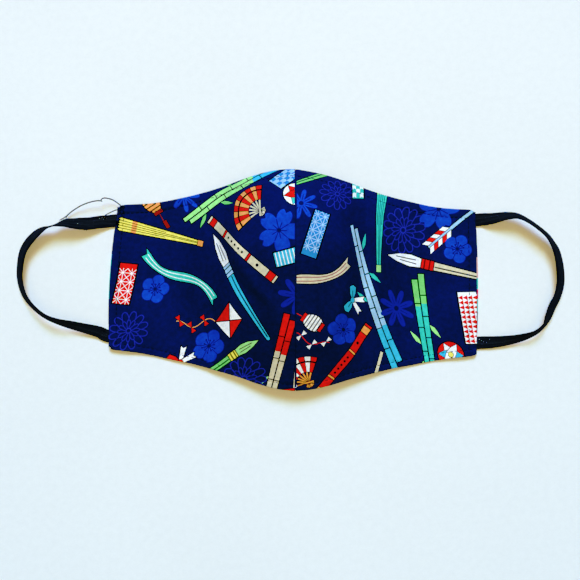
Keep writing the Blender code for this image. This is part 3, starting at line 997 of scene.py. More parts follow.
def outline_of(side, inset):
    """The panel's edge as seen from above, in millimetres from the seam and y."""

    def walk(start, end, at):
        path = np.stack(at(blend(start, end, np.linspace(0, 1, 400))), axis=1) / MM
        run = run_along(path)
        stops = np.linspace(0, run[-1], max(2, round(run[-1] / OUTLINE_PITCH)) + 1)[:-1]
        return np.stack([np.interp(stops, run, path[:, k]) for k in (0, 1)], axis=1)

    def flank(up):
        low, high = edges_at(side, np.zeros_like(up))
        return side_distance(side, up) - inset, blend(low + inset, high - inset, up)

    def seam(share):
        return np.full_like(share, inset), blend(seam_top[0], seam_bottom[0], share)

    first = inset / PANEL_REACH[side]
    last = 1 - first
    _, seam_bottom = border(side, np.array([last]), False, inset)
    _, seam_top = border(side, np.array([last]), True, inset)
    runs = (
        walk(last, first, lambda across: border(side, across, False, inset)),
        walk(0.0, 1.0, flank),
        walk(first, last, lambda across: border(side, across, True, inset)),
        walk(0.0, 1.0, seam),
    )
    return np.concatenate(runs)


def triangulate(points, edges):
    spots = [Vector(p) for p in points]
    made = geometry.delaunay_2d_cdt(spots, [tuple(map(int, e)) for e in edges], [], 0, MERGE_DISTANCE)
    return np.array([tuple(v) for v in made[0]]), np.array(made[2], int)


def lattice(low, high, pitch):
    x = np.arange(low[0], high[0] + pitch, pitch)
    y = np.arange(low[1], high[1] + pitch, pitch)
    gx, gy = np.meshgrid(x, y, indexing="ij")
    gx = gx + np.where(np.arange(gx.shape[1]) % 2, pitch / 2, 0)[None, :]
    return np.stack([gx.ravel(), gy.ravel()], axis=1)


def ring_edges(start, count):
    return [(start + i, start + (i + 1) % count) for i in range(count)]


def double_areas(places, faces):
    """Twice the area of each triangle, below 0 where it runs clockwise."""
    a, b, c = (places[faces[:, k]] for k in range(3))
    return (b - a)[:, 0] * (c - a)[:, 1] - (b - a)[:, 1] * (c - a)[:, 0]


def pairs_of(face):
    p, q, r = face
    return (p, q), (q, r), (r, p)


def rim_of(faces):
    """The corners round the edge of a sheet of triangles, in order."""
    seen = dict.fromkeys(pair for face in faces for pair in pairs_of(face))
    following = {a: b for a, b in seen if (b, a) not in seen}
    start = next(iter(following))
    loop = [start]
    while following[loop[-1]] != start:
        loop.append(following[loop[-1]])
    return loop


def printed_face(side, cloth, outline, layers):
    """The outer face seen from above: its points, its triangles and their colours."""
    low, high = outline.min(axis=0), outline.max(axis=0)
    points, edges, shapes = [outline], ring_edges(0, len(outline)), []
    for polygon, colour in layers:
        shape = np.stack(cloth.plan(*refined(polygon, PRINT_SIDE).T), axis=1)
        if (shape.max(axis=0) < low).any() or (shape.min(axis=0) > high).any():
            continue
        edges += ring_edges(sum(map(len, points)), len(shape))
        points.append(shape)
        shapes.append((shape, colour))
    grid = lattice(low, high, GRID_PITCH)
    points.append(grid[inside(grid, outline_of(side, PANEL_WALL / 2 + GRID_INSET))])
    places, faces = triangulate(np.concatenate(points), edges)
    middle = places[faces].mean(axis=1)
    keep = inside(middle, outline) & (np.abs(double_areas(places, faces)) / 2 > TINY_AREA)
    faces, middle = faces[keep], middle[keep]
    colours = np.tile(PALETTE["navy"], (len(faces), 1))
    for shape, colour in shapes:
        near = (middle >= shape.min(axis=0) - BOX_SPARE) & (middle <= shape.max(axis=0) + BOX_SPARE)
        index = np.flatnonzero(near.all(axis=1))
        colours[index[inside(middle[index], shape)]] = PALETTE[colour]
    used, faces = np.unique(faces, return_inverse=True)
    places, faces = places[used], faces.reshape(-1, 3)
    clockwise = double_areas(places, faces) < 0
    faces[clockwise] = faces[clockwise][:, ::-1]
    return places, faces, colours


def lining_face(side, spots, last_ring, total):
    """The inner face inside the rim's spots: its plan points, and triangles that share the last ring."""
    grid = lattice(spots.min(axis=0), spots.max(axis=0), LINING_PITCH)
    grid = grid[inside(grid, outline_of(side, PANEL_WALL / 2 + LINING_INSET))]
    places, faces = triangulate(np.concatenate([spots, grid]), ring_edges(0, len(spots)))
    faces = faces[inside(places[faces].mean(axis=1), spots)]
    upwards = double_areas(places, faces) >= 0
    faces[upwards] = faces[upwards][:, ::-1]
    shared = {tuple(np.round(p, SAME_PLACE)): i for p, i in zip(spots, last_ring)}
    index = [shared.get(tuple(np.round(p, SAME_PLACE)), total + i) for i, p in enumerate(places)]
    return places, np.array(index)[faces]


def rounded_edge(top, up, spots):
    """Rows of points and normals round the cloth's edge, from the outer face's rim down to the lining."""
    radius = PANEL_WALL / 2
    run = np.roll(spots, -1, axis=0) - np.roll(spots, 1, axis=0)
    outwards = unit(np.column_stack([run[:, 1], -run[:, 0], np.zeros(len(spots))]))
    outwards = unit(outwards - up * np.sum(outwards * up, axis=1, keepdims=True))
    angles = [math.pi * k / RIM_TURNS for k in range(1, RIM_TURNS + 1)]
    facing = [math.cos(angle) * up + math.sin(angle) * outwards for angle in angles]
    return [top - radius * up + radius * row for row in facing], facing


def edge_faces(rings, spots, faces, colours):
    """The rounded edge's faces. The print runs over its outer half, but not at the seam."""
    rim, count = rings[0], len(rings[0])
    owner = {pair: f for f, face in enumerate(faces) for pair in pairs_of(face)}
    quads, tints = [], []
    for k in range(RIM_TURNS):
        for i in range(count):
            j = (i + 1) % count
            quads.append((rings[k][j], rings[k][i], rings[k + 1][i], rings[k + 1][j]))
            unprinted = k > RIM_TURNS // 2 or max(spots[i, 0], spots[j, 0]) < SEAM_RIM
            tints.append(PALETTE["navy"] if unprinted else colours[owner[rim[i], rim[j]]])
    return quads, tints


def panel_mesh(side, layers):
    """The cloth of one half: printed outer face, rounded edge and lining, as one closed mesh."""
    cloth = Cloth(side)
    places, faces, colours = printed_face(side, cloth, outline_of(side, PANEL_WALL / 2), layers)
    top, top_normal = outer_point(side, *places.T * MM), outer_normal(side, *places.T * MM)
    vertices, normals, uvs = [top], [top_normal], [np.column_stack(cloth.flat(*places.T))]
    rim = rim_of([tuple(f) for f in faces])
    count, spots = len(rim), places[rim]
    rows, facings = rounded_edge(top[rim], top_normal[rim], spots)
    vertices += rows
    normals += facings
    uvs += [uvs[0][rim] + k * RIM_UV_STEP for k in range(1, RIM_TURNS + 1)]
    rings = [np.array(rim)] + [len(top) + k * count + np.arange(count) for k in range(RIM_TURNS)]
    quads, quad_tints = edge_faces(rings, spots, faces, colours)
    inner, inner_faces = lining_face(side, spots, rings[-1], len(top) + RIM_TURNS * count)
    facing = outer_normal(side, *inner.T * MM)
    vertices.append(outer_point(side, *inner.T * MM) - PANEL_WALL * facing)
    normals.append(-facing)
    uvs.append(np.column_stack(cloth.flat(*inner.T)) + LINING_UV_SHIFT)
    polygons = [tuple(f) for f in faces] + quads + [tuple(f) for f in inner_faces]
    tints = np.concatenate([colours, quad_tints, np.tile(PALETTE["navy"], (len(inner_faces), 1))])
    slots = [0] * (len(faces) + len(quads)) + [1] * len(inner_faces)
    return [np.concatenate(rows) for rows in (vertices, normals, uvs)] + [polygons, tints, slots]


def add_object(name, data):
    obj = bpy.data.objects.new(name, data)
    bpy.context.scene.collection.objects.link(obj)
    return obj


def build(name, vertices, polygons, flip, normals=None, uvs=None, tints=None, slots=None):
    """A smooth mesh object. flip turns the faces round."""
    if flip:
        polygons = [p[::-1] for p in polygons]
    corner_points = np.array([i for p in polygons for i in p])
    used = np.unique(corner_points)
    where = np.zeros(len(vertices), int)
    where[used] = np.arange(len(used))
    mesh = bpy.data.meshes.new(name)
    mesh.from_pydata(np.asarray(vertices)[used].tolist(), [], [[int(where[i]) for i in p] for p in polygons])
    if uvs is not None:
        layer = mesh.uv_layers.new(name="cloth")
        layer.data.foreach_set("uv", (np.asarray(uvs)[corner_points] * UV_SCALE).ravel())
    if tints is not None:
        layer = mesh.color_attributes.new("print", "FLOAT_COLOR", "CORNER")
        shades = np.column_stack([tints, np.ones(len(tints))])
        layer.data.foreach_set("color", np.repeat(shades, [len(p) for p in polygons], axis=0).ravel())
    if slots is not None:
        mesh.polygons.foreach_set("material_index", slots)
    mesh.shade_smooth()
    if normals is not None:
        mesh.normals_split_custom_set_from_vertices(np.asarray(normals)[used].tolist())
    mesh.update()
    return add_object(name, mesh)


def skin(rows, n, start=0, inwards=False):
    """Faces over rows of n points each: the sides, and then the two ends."""
    faces = []
    for i in range(rows - 1):
        a, b = start + i * n, start + (i + 1) * n
        for k in range(n):
            j = (k + 1) % n
            faces.append((a + k, b + k, b + j, a + j) if inwards else (a + k, a + j, b + j, b + k))
    first = tuple(range(start, start + n))
    last = tuple(range(start + (rows - 1) * n, start + rows * n))
    return faces + ([first, last[::-1]] if inwards else [first[::-1], last])


def faces_out(vertices, polygons):
    """True if a closed mesh's faces point outwards."""
    v = np.asarray(vertices)
    total = 0.0
    for p in polygons:
        for k in range(1, len(p) - 1):
            total += float(np.dot(v[p[0]], np.cross(v[p[k]], v[p[k + 1]])))
    return total > 0


# Materials.


class Nodes:
    """Short names for a material's nodes."""

    def __init__(self, name):
        self.material = bpy.data.materials.new(name)
        self.material.use_nodes = True
        self.tree = self.material.node_tree
        self.shader = self.tree.nodes["Principled BSDF"]

    def add(self, kind, inputs=(), **settings):
        node = self.tree.nodes.new(f"ShaderNode{kind}")
        for name, value in settings.items():
            setattr(node, name, value)
        for key, value in dict(inputs).items():
            self.put(node.inputs[key], value)
        return node

    def put(self, socket, value):
        if isinstance(value, bpy.types.NodeSocket):
            self.tree.links.new(value, socket)
        else:
            socket.default_value = value

    def colour(self, colour):
        node = self.add("RGB")
        node.outputs[0].default_value = (*colour, 1.0)
        return node.outputs[0]

    def math(self, operation, a, b=0.0):
        return self.add("Math", {0: a, 1: b}, operation=operation).outputs[0]

    def times(self, a, b):
        return self.math("MULTIPLY", a, b)

    def scale(self, value, low, high, start=0.0, end=1.0):
        ends = {"From Min": start, "From Max": end, "To Min": low, "To Max": high}
        return self.add("MapRange", {"Value": value, **ends}).outputs["Result"]

    def noise(self, vector, scale, detail=3.0, roughness=0.5):
        inputs = {"Vector": vector, "Scale": scale, "Detail": detail, "Roughness": roughness}
        return self.add("TexNoise", inputs).outputs["Fac"]

    def wave(self, vector, bands, direction, distortion=0.0):
        """Soft bands, so many to each unit of the map."""
        inputs = {"Vector": vector, "Scale": bands * math.pi / 10, "Distortion": distortion, "Detail": 1.0}
        return self.add("TexWave", inputs, wave_type="BANDS", bands_direction=direction).outputs["Fac"]

    def mapped(self, vector, **changes):
        return self.add("Mapping", {"Vector": vector, **changes}).outputs["Vector"]

    def mix(self, share, first, second):
        return self.add("MixRGB", {"Fac": share, "Color1": first, "Color2": second}).outputs["Color"]

    def bump(self, height, strength, distance, **under):
        inputs = {"Strength": strength, "Distance": distance, "Height": height, **under}
        return self.add("Bump", inputs).outputs["Normal"]

    def tint(self, colour, amount):
        """The colour times a number."""
        return self.add("VectorMath", {0: colour, "Scale": amount}, operation="SCALE").outputs["Vector"]

    def finish(self, **values):
        for key, value in values.items():
            self.put(self.shader.inputs[key.replace("_", " ")], value)
        return self.material


WEAVE_THREADS = 260.0


def cotton(name, code=None, sheen=0.005):
    """Plain-woven cotton. Without a colour code it shows the print."""
    n = Nodes(name)
    uv = n.add("UVMap", uv_map="cloth").outputs["UV"]
    cells = n.add("TexChecker", {"Vector": uv, "Scale": WEAVE_THREADS}).outputs["Fac"]
    across = n.wave(uv, WEAVE_THREADS, "X", 0.4)
    along = n.wave(uv, WEAVE_THREADS, "Y", 0.4)
    weave = n.add("Mix", {0: cells, 2: across, 3: along}, data_type="FLOAT").outputs[0]
    slubs = n.noise(uv, 34.0, 4.0, 0.6)
    patches = n.noise(uv, 3.2, 2.0, 0.5)
    if code is None:
        colour = n.add("Attribute", attribute_name="print").outputs["Color"]
    else:
        colour = n.colour(linear(code))
    threads = n.times(n.scale(weave, 0.90, 1.07), n.scale(slubs, 0.84, 1.14, 0.3, 0.7))
    amount = n.times(threads, n.scale(patches, 0.88, 1.10, 0.3, 0.7))
    weave_bump = n.bump(weave, 0.30, 0.00010)
    bump = n.bump(n.noise(uv, 9.0, 3.0, 0.55), 0.5, 0.0006, Normal=weave_bump)
    return n.finish(
        Base_Color=n.tint(colour, amount),
        Roughness=n.math("ADD", n.scale(weave, 0.70, 0.80), n.scale(slubs, -0.03, 0.05)),
        Normal=bump,
        Specular_IOR_Level=0.03,
        Sheen_Weight=sheen,
        Sheen_Roughness=0.45,
        Sheen_Tint=(0.55, 0.68, 1.0, 1.0),
    )


RIB_PITCH = 0.86 * UV_SCALE
BRAID_PITCH = 0.75 * UV_SCALE
BRAID_ANGLE = 38


def elastic_material():
    """Black braided elastic: fine ribs, small chevrons, darker towards both edges, streaks along it and
    specks.
    """
    n = Nodes("braided_elastic")
    uv = n.add("UVMap", uv_map="cloth").outputs["UV"]
    ribs = n.wave(uv, 1 / RIB_PITCH, "X")
    slanted = [n.mapped(uv, Rotation=(0.0, 0.0, math.radians(a))) for a in (BRAID_ANGLE, -BRAID_ANGLE)]
    braid = n.math("MAXIMUM", *(n.wave(vector, 1 / BRAID_PITCH, "Y", 0.6) for vector in slanted))
    height = n.math("ADD", n.times(ribs, 0.65), n.times(braid, 0.35))
    fuzz = n.noise(uv, 60.0, 4.0, 0.65)
    worn = n.noise(uv, 7.0, 3.0, 0.5)
    across = n.add("SeparateXYZ", {"Vector": uv}).outputs["X"]
    from_middle = n.math("PINGPONG", across, STRAP_WIDTH / MM * UV_SCALE)
    # The band's colour is darker towards both edges, from 0.95 near the middle to 0.28 at the edge.
    edge_darkening = n.scale(from_middle, 0.95, 0.28, 0.016, 0.039)
    drawn_out = n.mapped(uv, Scale=(1.0, 0.05, 1.0))
    streaks = n.scale(n.noise(drawn_out, 95.0, 3.0, 0.6), 0.0, 1.0, 0.42, 0.66)
    paleness = n.times(n.scale(height, 0.0, 1.0), n.scale(fuzz, 0.2, 0.9))
    threads = n.mix(paleness, (*linear("0D1219"), 1.0), (*linear("273243"), 1.0))
    specks = n.scale(n.noise(uv, 170.0, 2.0, 0.5), 0.0, 0.9, 0.66, 0.74)
    specked = n.mix(specks, threads, (*linear("58667C"), 1.0))
    bands = n.times(edge_darkening, n.scale(streaks, 0.7, 2.0))
    colour = n.tint(specked, n.times(bands, n.scale(worn, 0.75, 1.3, 0.3, 0.7)))
    bump = n.bump(height, 0.55, 0.00018)
    return n.finish(
        Base_Color=colour,
        Roughness=n.scale(fuzz, 0.55, 0.75),
        Normal=bump,
        Specular_IOR_Level=0.02,
        Sheen_Weight=0.01,
        Sheen_Tint=(0.6, 0.72, 1.0, 1.0),
    )


def thread_material(name, code):
    """Twisted sewing thread."""
    n = Nodes(name)
    place = n.add("TexCoord").outputs["Object"]
    twist = n.wave(place, 9000 / math.pi, "DIAGONAL", 1.5)
    fuzz = n.noise(place, 1500.0, 3.0, 0.6)
    base = n.colour(linear(code))
    amount = n.times(n.scale(twist, 0.75, 1.2), n.scale(fuzz, 0.85, 1.15))
    bump = n.bump(twist, 0.5, 0.00005)
    return n.finish(
        Base_Color=n.tint(base, amount),
        Roughness=n.scale(fuzz, 0.45, 0.70),
        Normal=bump,
        Specular_IOR_Level=0.03,
    )


def table_material():
    """A matt pale table top with a very fine grain."""
    n = Nodes("pale_table")
    place = n.add("TexCoord").outputs["Object"]
    fine = n.noise(place, 900.0, 3.0, 0.6)
    pores = n.noise(place, 260.0, 2.0, 0.5)
    soft = n.noise(place, 6.0, 2.0, 0.5)
    base = n.colour((0.86, 0.865, 0.86))
    grains = n.times(n.scale(fine, 0.965, 1.03), n.scale(pores, 0.985, 1.012, 0.3, 0.7))
    amount = n.times(grains, n.scale(soft, 0.985, 1.012, 0.3, 0.7))
    bump = n.bump(n.math("ADD", n.times(fine, 0.5), n.times(pores, 0.5)), 0.10, 0.0002)
    return n.finish(
        Base_Color=n.tint(base, amount),
        Roughness=n.scale(fine, 0.72, 0.88),
        Normal=bump,
        Specular_IOR_Level=0.2,
    )


PRINTED = cotton("printed_cotton_cloth")
LINING = cotton("lining_cotton", "0E1C46", sheen=0.10)
ELASTIC = elastic_material()
NAVY_THREAD = thread_material("navy_thread", "0A1230")
DARK_THREAD = thread_material("dark_thread", "03050A")
PALE_THREAD = thread_material("pale_thread", "D9DDE0")
GREY_THREAD = thread_material("grey_thread", "B4BEC8")


def show(obj, materials, slot_name, *nodes):
    """Gives a piece its materials and its body, and hides the CAD parts that it stands for. slot_name is not
    used.
    """
    for material in materials:
        obj.data.materials.append(material)
    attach(obj, "root")
    if nodes:
        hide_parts(*nodes)


# The panels.

for side in SIDES:
    vertices, normals, uvs, polygons, tints, slots = panel_mesh(side, layout(side))
    normals = normals * (SIGN[side], 1, 1)
    flip = SIGN[side] < 0
    panel = build(f"cloth_{side}", to_world(side, vertices), polygons, flip, normals, uvs, tints, slots)
    show(panel, [PRINTED, LINING], "printed_cotton", f"panel_{side}")


# The side hems.

HEM_ROWS = 280
HEM_TURNS = 8
SLOT_SPARE, SLOT_FADE = 1.0 * MM, 1.2 * MM

# The bits of the print that show on the folded edge, from one y to another, each between two ink lines.
HEM_PRINT_LINE = 0.0005
HEM_MARKS = {
    "left": ((-0.012, 0.013, "teal"), (0.013, 0.016, "cyan")),
    "right": (
        (0.001, 0.014, "pink"), (-0.006, 0.001, "teal"), (-0.012, -0.006, "red"), (-0.020, -0.012, "teal"),
    ),
}


def hem_rows(side):
    """The hem along its length: a folded strip that dips where the elastic lies in it."""
    low_corner, high_corner = corners(side)
    y = np.linspace(low_corner + HEM_INSET, high_corner - HEM_INSET, HEM_ROWS)
    outer, inner = hem_edges(side, (y - low_corner) / SIDE_HEIGHT[side])
    slot = np.zeros_like(y)
    for _, spot, slant in anchors(side):
        half = STRAP_WIDTH / 2 + abs(slant) * (STRAP_TUCK + EXIT_RUN) + SLOT_SPARE
        slot = np.maximum(slot, 1 - fade((np.abs(y - spot) - half) / SLOT_FADE))
    return y, outer, inner, blend(HEM_WALL, HEM_WALL - STRAP_WALL - 3 * GAP, slot)


def hem_tint(side, y):
    shade = "navy"
    for low, high, colour in HEM_MARKS[side]:
        if low - HEM_PRINT_LINE <= y < low or high <= y < high + HEM_PRINT_LINE:
            shade = "ink"
        elif low <= y < high:
            return PALETTE[colour]
    return PALETTE[shade]


def hem_mesh(side):
    y, outer, inner, top = hem_rows(side)
    half_turn = [math.pi * k / HEM_TURNS for k in range(HEM_TURNS + 1)]
    section = [(start < 0, start + turn) for start in (-math.pi / 2, math.pi / 2) for turn in half_turn]
    vertices, tints = [], []
    for i in range(HEM_ROWS):
        half = top[i] / 2
        for is_outer, angle in section:
            c, s = math.cos(angle), math.sin(angle)
            x = outer[i] + (c - 1) * half if is_outer else inner[i] + c * half + half
            vertices.append((x, y[i], half + s * half))
    for i in range(HEM_ROWS - 1):
        tints += [hem_tint(side, (y[i] + y[i + 1]) / 2)] * len(section)
    tints += [PALETTE["navy"]] * 2
    vertices = np.array(vertices)
    uvs = np.column_stack([vertices[:, 0] + vertices[:, 2], vertices[:, 1]]) / MM
    return vertices, skin(HEM_ROWS, len(section), inwards=True), uvs, np.array(tints)


for side in SIDES:
    vertices, polygons, uvs, tints = hem_mesh(side)
    flip = SIGN[side] < 0
    hem = build(f"folded_hem_{side}", to_world(side, vertices), polygons, flip, uvs=uvs, tints=tints)
    show(hem, [PRINTED], "hem_cotton", f"side_hem_{side}")


# The ear loops.

LOOP_PITCH = 0.8 * MM
STRAP_COLUMNS = 27
STRAP_RIBS = 9
RIB_DEPTH = 0.16
EDGE_ROUNDING = 14
WIDTH_WOBBLE = 0.012


def loop_path(side):
    """Middle, heading and roll along the elastic, in the seam's own frame."""
    lower, upper = anchors(side)
    exit_z = HEM_WALL - GAP - STRAP_WALL / 2

    def tucked(distance, y, slant):
        return [(distance + run, y + slant * run, exit_z, 0.0) for run in (-STRAP_TUCK, EXIT_RUN)]

    rows = tucked(*upper)
    for out, up, lift, roll in ROUTES[side]:
        x = PANEL_REACH[side] + out * LOOP_REACH[side]
        rows.append((x, blend(lower[1], upper[1], up), lift * LOOP_LIFT, roll))
    rows = np.array(rows + tucked(*lower)[::-1])
    plan = rows[:, :2]
    along = run_along(plan)
    tangent = tangents(plan, along)
    tangent[0] = (plan[1] - plan[0]) / along[1]
    tangent[-1] = (plan[-1] - plan[-2]) / (along[-1] - along[-2])
    stops = np.linspace(0, along[-1], math.ceil(along[-1] / LOOP_PITCH) + 1)
    path = smooth_path(plan, tangent, along, stops)
    z = Curve(along, rows[:, 2])(stops)
    roll = np.radians(Curve(along, rows[:, 3])(stops))
    return np.column_stack([path, z]), unit(np.gradient(path, axis=0)), roll, stops


def band_axes(heading, roll):
    """Directions across and through the band."""
    level = np.zeros(len(heading))
    inwards = np.column_stack([heading[:, 1], -heading[:, 0], level])
    width = inwards * np.cos(roll)[:, None] + np.array([0.0, 0.0, 1.0]) * np.sin(roll)[:, None]
    face = np.cross(width, np.column_stack([heading, level]))
    return width, face * np.where(face[:, 2:] < 0, -1.0, 1.0)


def loop_mesh(side):
    path, heading, roll, stops = loop_path(side)
    width, face = band_axes(heading, roll)
    shares = np.linspace(-1, 1, STRAP_COLUMNS)
    section = []
    for top, row in ((1, shares), (-1, shares[::-1])):
        for share in row:
            rib = 1 - RIB_DEPTH + RIB_DEPTH * math.cos(math.pi * STRAP_RIBS * share)
            section.append((share, top * (1 - abs(share) ** EDGE_ROUNDING) ** 0.5 * rib))
    vertices, uvs = [], []
    wobble = ripple(stops, 4.0)
    for i in range(len(path)):
        half = STRAP_WIDTH / 2 * (1 + WIDTH_WOBBLE * wobble[i])
        for share, through in section:
            vertices.append(path[i] + width[i] * half * share + face[i] * STRAP_WALL / 2 * through)
            under = 2 * STRAP_WIDTH / MM if through < 0 else 0
            uvs.append((share * STRAP_WIDTH / 2 / MM + under, stops[i] / MM))
    return to_world(side, vertices), skin(len(path), len(section)), np.array(uvs)


loop_trees = []
for side in SIDES:
    vertices, polygons, uvs = loop_mesh(side)
    loop = build(f"elastic_{side}", vertices, polygons, not faces_out(vertices, polygons), uvs=uvs)
    show(loop, [ELASTIC], "black_elastic", f"ear_loop_{side}")
    loop_trees.append(BVHTree.FromPolygons(vertices.tolist(), polygons))


# Threads. A run is a path, a radius and a number of sides.

THREAD_END = 0.55
# One stitch: share of its length, height in millimetres.
STITCH_SHAPE = ((0.0, -0.16), (0.12, 0.05), (0.5, 0.12), (0.88, 0.05), (1.0, -0.16))
STITCH_START = 0.6 * MM
STITCH_DRIFT = 0.08
# Where the lines of stitches start and end, as shares: up for the side, and across for nose and chin.
SIDE_LINE, SIDE_LINE_POINTS, SIDE_LINE_ACROSS = (0.035, 0.965), 300, 0.04
EDGE_LINE, EDGE_LINE_POINTS = (0.995, 0.02), 500


def thread_object(name, runs, material, slot_name):
    """A piece made of round threads with closed, slightly narrower ends."""
    vertices, polygons = [], []
    for path, radius, sides in runs:
        path = np.asarray(path, float)
        run = unit(np.gradient(path, axis=0))
        side = unit(np.cross(run, (0.0, 0.0, 1.0)))
        up = np.cross(side, run)
        angles = np.arange(sides) * 2 * math.pi / sides
        widths = np.full(len(path), radius)
        widths[[0, -1]] = THREAD_END * radius
        polygons += skin(len(path), sides, len(vertices))
        for p, s, u, w in zip(path, side, up, widths):
            vertices += [p + w * (math.cos(a) * s + math.sin(a) * u) for a in angles]
    thread = build(name, vertices, polygons, not faces_out(vertices, polygons))
    show(thread, [material], slot_name)


def stitch_line(side, kind):
    """Plan points along one line of stitches, close together."""
    if kind == "side":
        up = np.linspace(*SIDE_LINE, SIDE_LINE_POINTS)
        low, high = edges_at(side, np.full_like(up, SIDE_LINE_ACROSS))
        return side_distance(side, up) - SIDE_STITCH, blend(low, high, up)
    across = np.linspace(*EDGE_LINE, EDGE_LINE_POINTS)
    return border(side, across, kind == "nose", NOSE_STITCH if kind == "nose" else CHIN_STITCH)


def stitches(side, kind, under=False):
    """The runs of one line of stitches, on the outer face or under the lining."""
    d, y = stitch_line(side, kind)
    run = run_along(outer_point(side, d, y))
    dice = np.random.default_rng(len(kind) + 10 * SIDES.index(side))
    shares, heights = np.array(STITCH_SHAPE).T
    at = STITCH_START + under * STITCH_PITCH / 2
    runs = []
    while at + STITCH_LENGTH < run[-1]:
        stops = at + STITCH_LENGTH * dice.uniform(0.88, 1.08) * shares
        places = np.interp(stops, run, d), np.interp(stops, run, y)
        path, facing = outer_point(side, *places), outer_normal(side, *places)
        if under:
            path, facing = path - PANEL_WALL * facing, -facing
        path = to_world(side, path + facing * (heights[:, None] * MM))
        path[:, 1] += dice.uniform(-STITCH_DRIFT, STITCH_DRIFT) * MM
        runs.append((path, THREAD_RADIUS, 6))
        at += STITCH_PITCH * dice.uniform(0.93, 1.07)
    return runs


for side in SIDES:
    runs = []
    for kind in ("nose", "chin"):
        runs += stitches(side, kind) + stitches(side, kind, under=True)
    runs += stitches(side, "side")
    thread_object(f"topstitching_{side}", runs, NAVY_THREAD, "printed_cotton")


def on_table(px, py, z):
    """The point at height z that the photograph shows at this pixel."""
    share = (CAMERA_HEIGHT - z) / CAMERA_HEIGHT
    x = ((px - PIXELS / 2) * share - (CENTRE_PIXEL[0] - PIXELS / 2)) * PIXEL
    y = ((PIXELS / 2 - py) * share - (PIXELS / 2 - CENTRE_PIXEL[1])) * PIXEL
    return np.array([x, y, z])


CLOTH_ROUNDS = 12
NEAREST_SEAM = 0.3 * MM


def on_cloth(px, py, lift):
    """The point of the cloth that the photograph shows at this pixel."""
    z = 0.01
    for _ in range(CLOTH_ROUNDS):
        x, y, _ = on_table(px, py, z)
        side = "left" if x < SEAM_X else "right"
        d = max(abs(x - SEAM_X), NEAREST_SEAM)
        z = float(outer_height(side, np.array([d]), np.array([y - FRAME_Y]))[0]) + lift
    return on_table(px, py, z)


def on_elastic(px, py, lift=0.0):
    """The point of an ear loop that the photograph shows at this pixel."""
    start = Vector(on_table(px, py, CAMERA_HEIGHT))
    heading = Vector(on_table(px, py, 0.0)) - start
    for tree in loop_trees:
        spot, *_ = tree.ray_cast(start, heading)
        if spot:
            return np.array(spot - heading.normalized() * lift)
    return on_table(px, py, lift)


def smooth_line(points, pitch):
    """A smooth path through points, with a point about every pitch."""
    points = np.array(points, float)
    run = run_along(points)
    stops = np.linspace(0, run[-1], max(3, math.ceil(run[-1] / pitch)))
    return smooth_path(points, tangents(points, run), run, stops)


# Loose ends of thread at the upper left corner, each with its radius and pitch in millimetres, the pixels
# where it leaves the cloth, and pixels with heights over the table in millimetres.
ROOT_LIFT = 0.3 * MM
LOOSE_ENDS = (
    (0.31, 1.2, [(121.7, 206.5)], (
        (117.5, 203.0, 4.0), (113.0, 200.0, 4.8), (109.5, 198.8, 5.4), (104.1, 198.0, 6.0),
        (101.0, 199.6, 6.2), (102.2, 201.3, 6.3), (99.4, 200.6, 6.4), (92.6, 201.5, 6.2),
        (83.5, 204.5, 5.2), (75.8, 208.7, 3.8), (68.1, 214.5, 2.4), (65.8, 218.0, 1.8),
    )),
    (0.27, 1.2, [], ((70.5, 212.6, 2.9), (66.0, 216.5, 2.2), (59.5, 220.4, 1.6))),
    (0.26, 0.8, [(118.5, 209.4)], (
        (114.4, 210.6, 3.6), (111.0, 212.2, 3.4), (107.9, 213.7, 3.2), (105.2, 215.4, 3.5),
        (103.6, 217.6, 3.9), (105.4, 218.6, 3.9), (105.8, 216.6, 4.1), (101.8, 216.0, 4.3),
        (98.8, 217.0, 4.6),
    )),
)
# The tangle on the cloth's corner: pixels, and heights over the cloth in millimetres.
TANGLE_RADIUS, TANGLE_PITCH = 0.17 * MM, 0.7 * MM
TANGLE = (
    (118.2, 214.6, 0.15), (120.4, 212.4, 0.35), (118.6, 210.8, 0.3), (121.6, 209.6, 0.4),
    (119.6, 207.9, 0.3), (122.8, 207.4, 0.4), (121.0, 206.2, 0.3), (124.4, 206.9, 0.25),
    (122.6, 209.8, 0.35), (124.0, 212.6, 0.25), (121.4, 214.2, 0.2), (123.0, 216.6, 0.1),
)
# Frayed fibres along the lower edge of the elastic there: pixel, and pixels to the right and down.
FRAYS = (
    (82.6, 228.2, -0.8, 1.6), (84.6, 228.4, -0.4, 2.2), (85.8, 228.4, 0.9, 2.4), (87.6, 228.2, 0.5, 1.5),
    (90.4, 227.9, 0.8, 1.5), (94.8, 227.4, -0.6, 1.4), (78.6, 227.4, -1.0, 1.2),
)
# Bits of pale lint on the elastic, some of them a painted highlight: pixel, half length in millimetres and
# slant.
# The first six rows are a painted highlight: pale fibres over the curl of loose thread near pixel (103, 218),
# for the light that glints on it. The rest are lint.
LINT_AND_PAINTED_GLINT = (
    (101.4, 218.0, 0.35, 60), (102.6, 217.2, 0.35, 20), (104.6, 217.5, 0.45, 75), (106.0, 218.3, 0.3, 120),
    (103.4, 219.0, 0.3, 10), (99.6, 218.6, 0.25, 40), (77.6, 223.6, 0.35, 5), (479.2, 339.3, 0.45, 30),
    (489.7, 339.2, 0.4, 80), (483.6, 341.8, 0.25, 120), (486.6, 342.6, 0.2, 20), (481.4, 340.6, 0.2, 60),
)
FIBRE_RADIUS, FRAY_DROP, LINT_AND_PAINTED_GLINT_LIFT = 0.13 * MM, 0.4 * MM, 0.08 * MM
# Pale tacking stitches at the two ends of the seam: pixel and half length in millimetres.
TACKS = ((293.9, 170.6, 0.55), (293.9, 173.5, 0.6), (293.7, 176.6, 0.4), (295.5, 387.4, 0.6))
TACK_SHAPE = ((-1, -0.1), (-0.5, 0.1), (0.5, 0.1), (1, -0.1))
TACK_RADIUS, TACK_LIFT = 0.2 * MM, 0.1 * MM

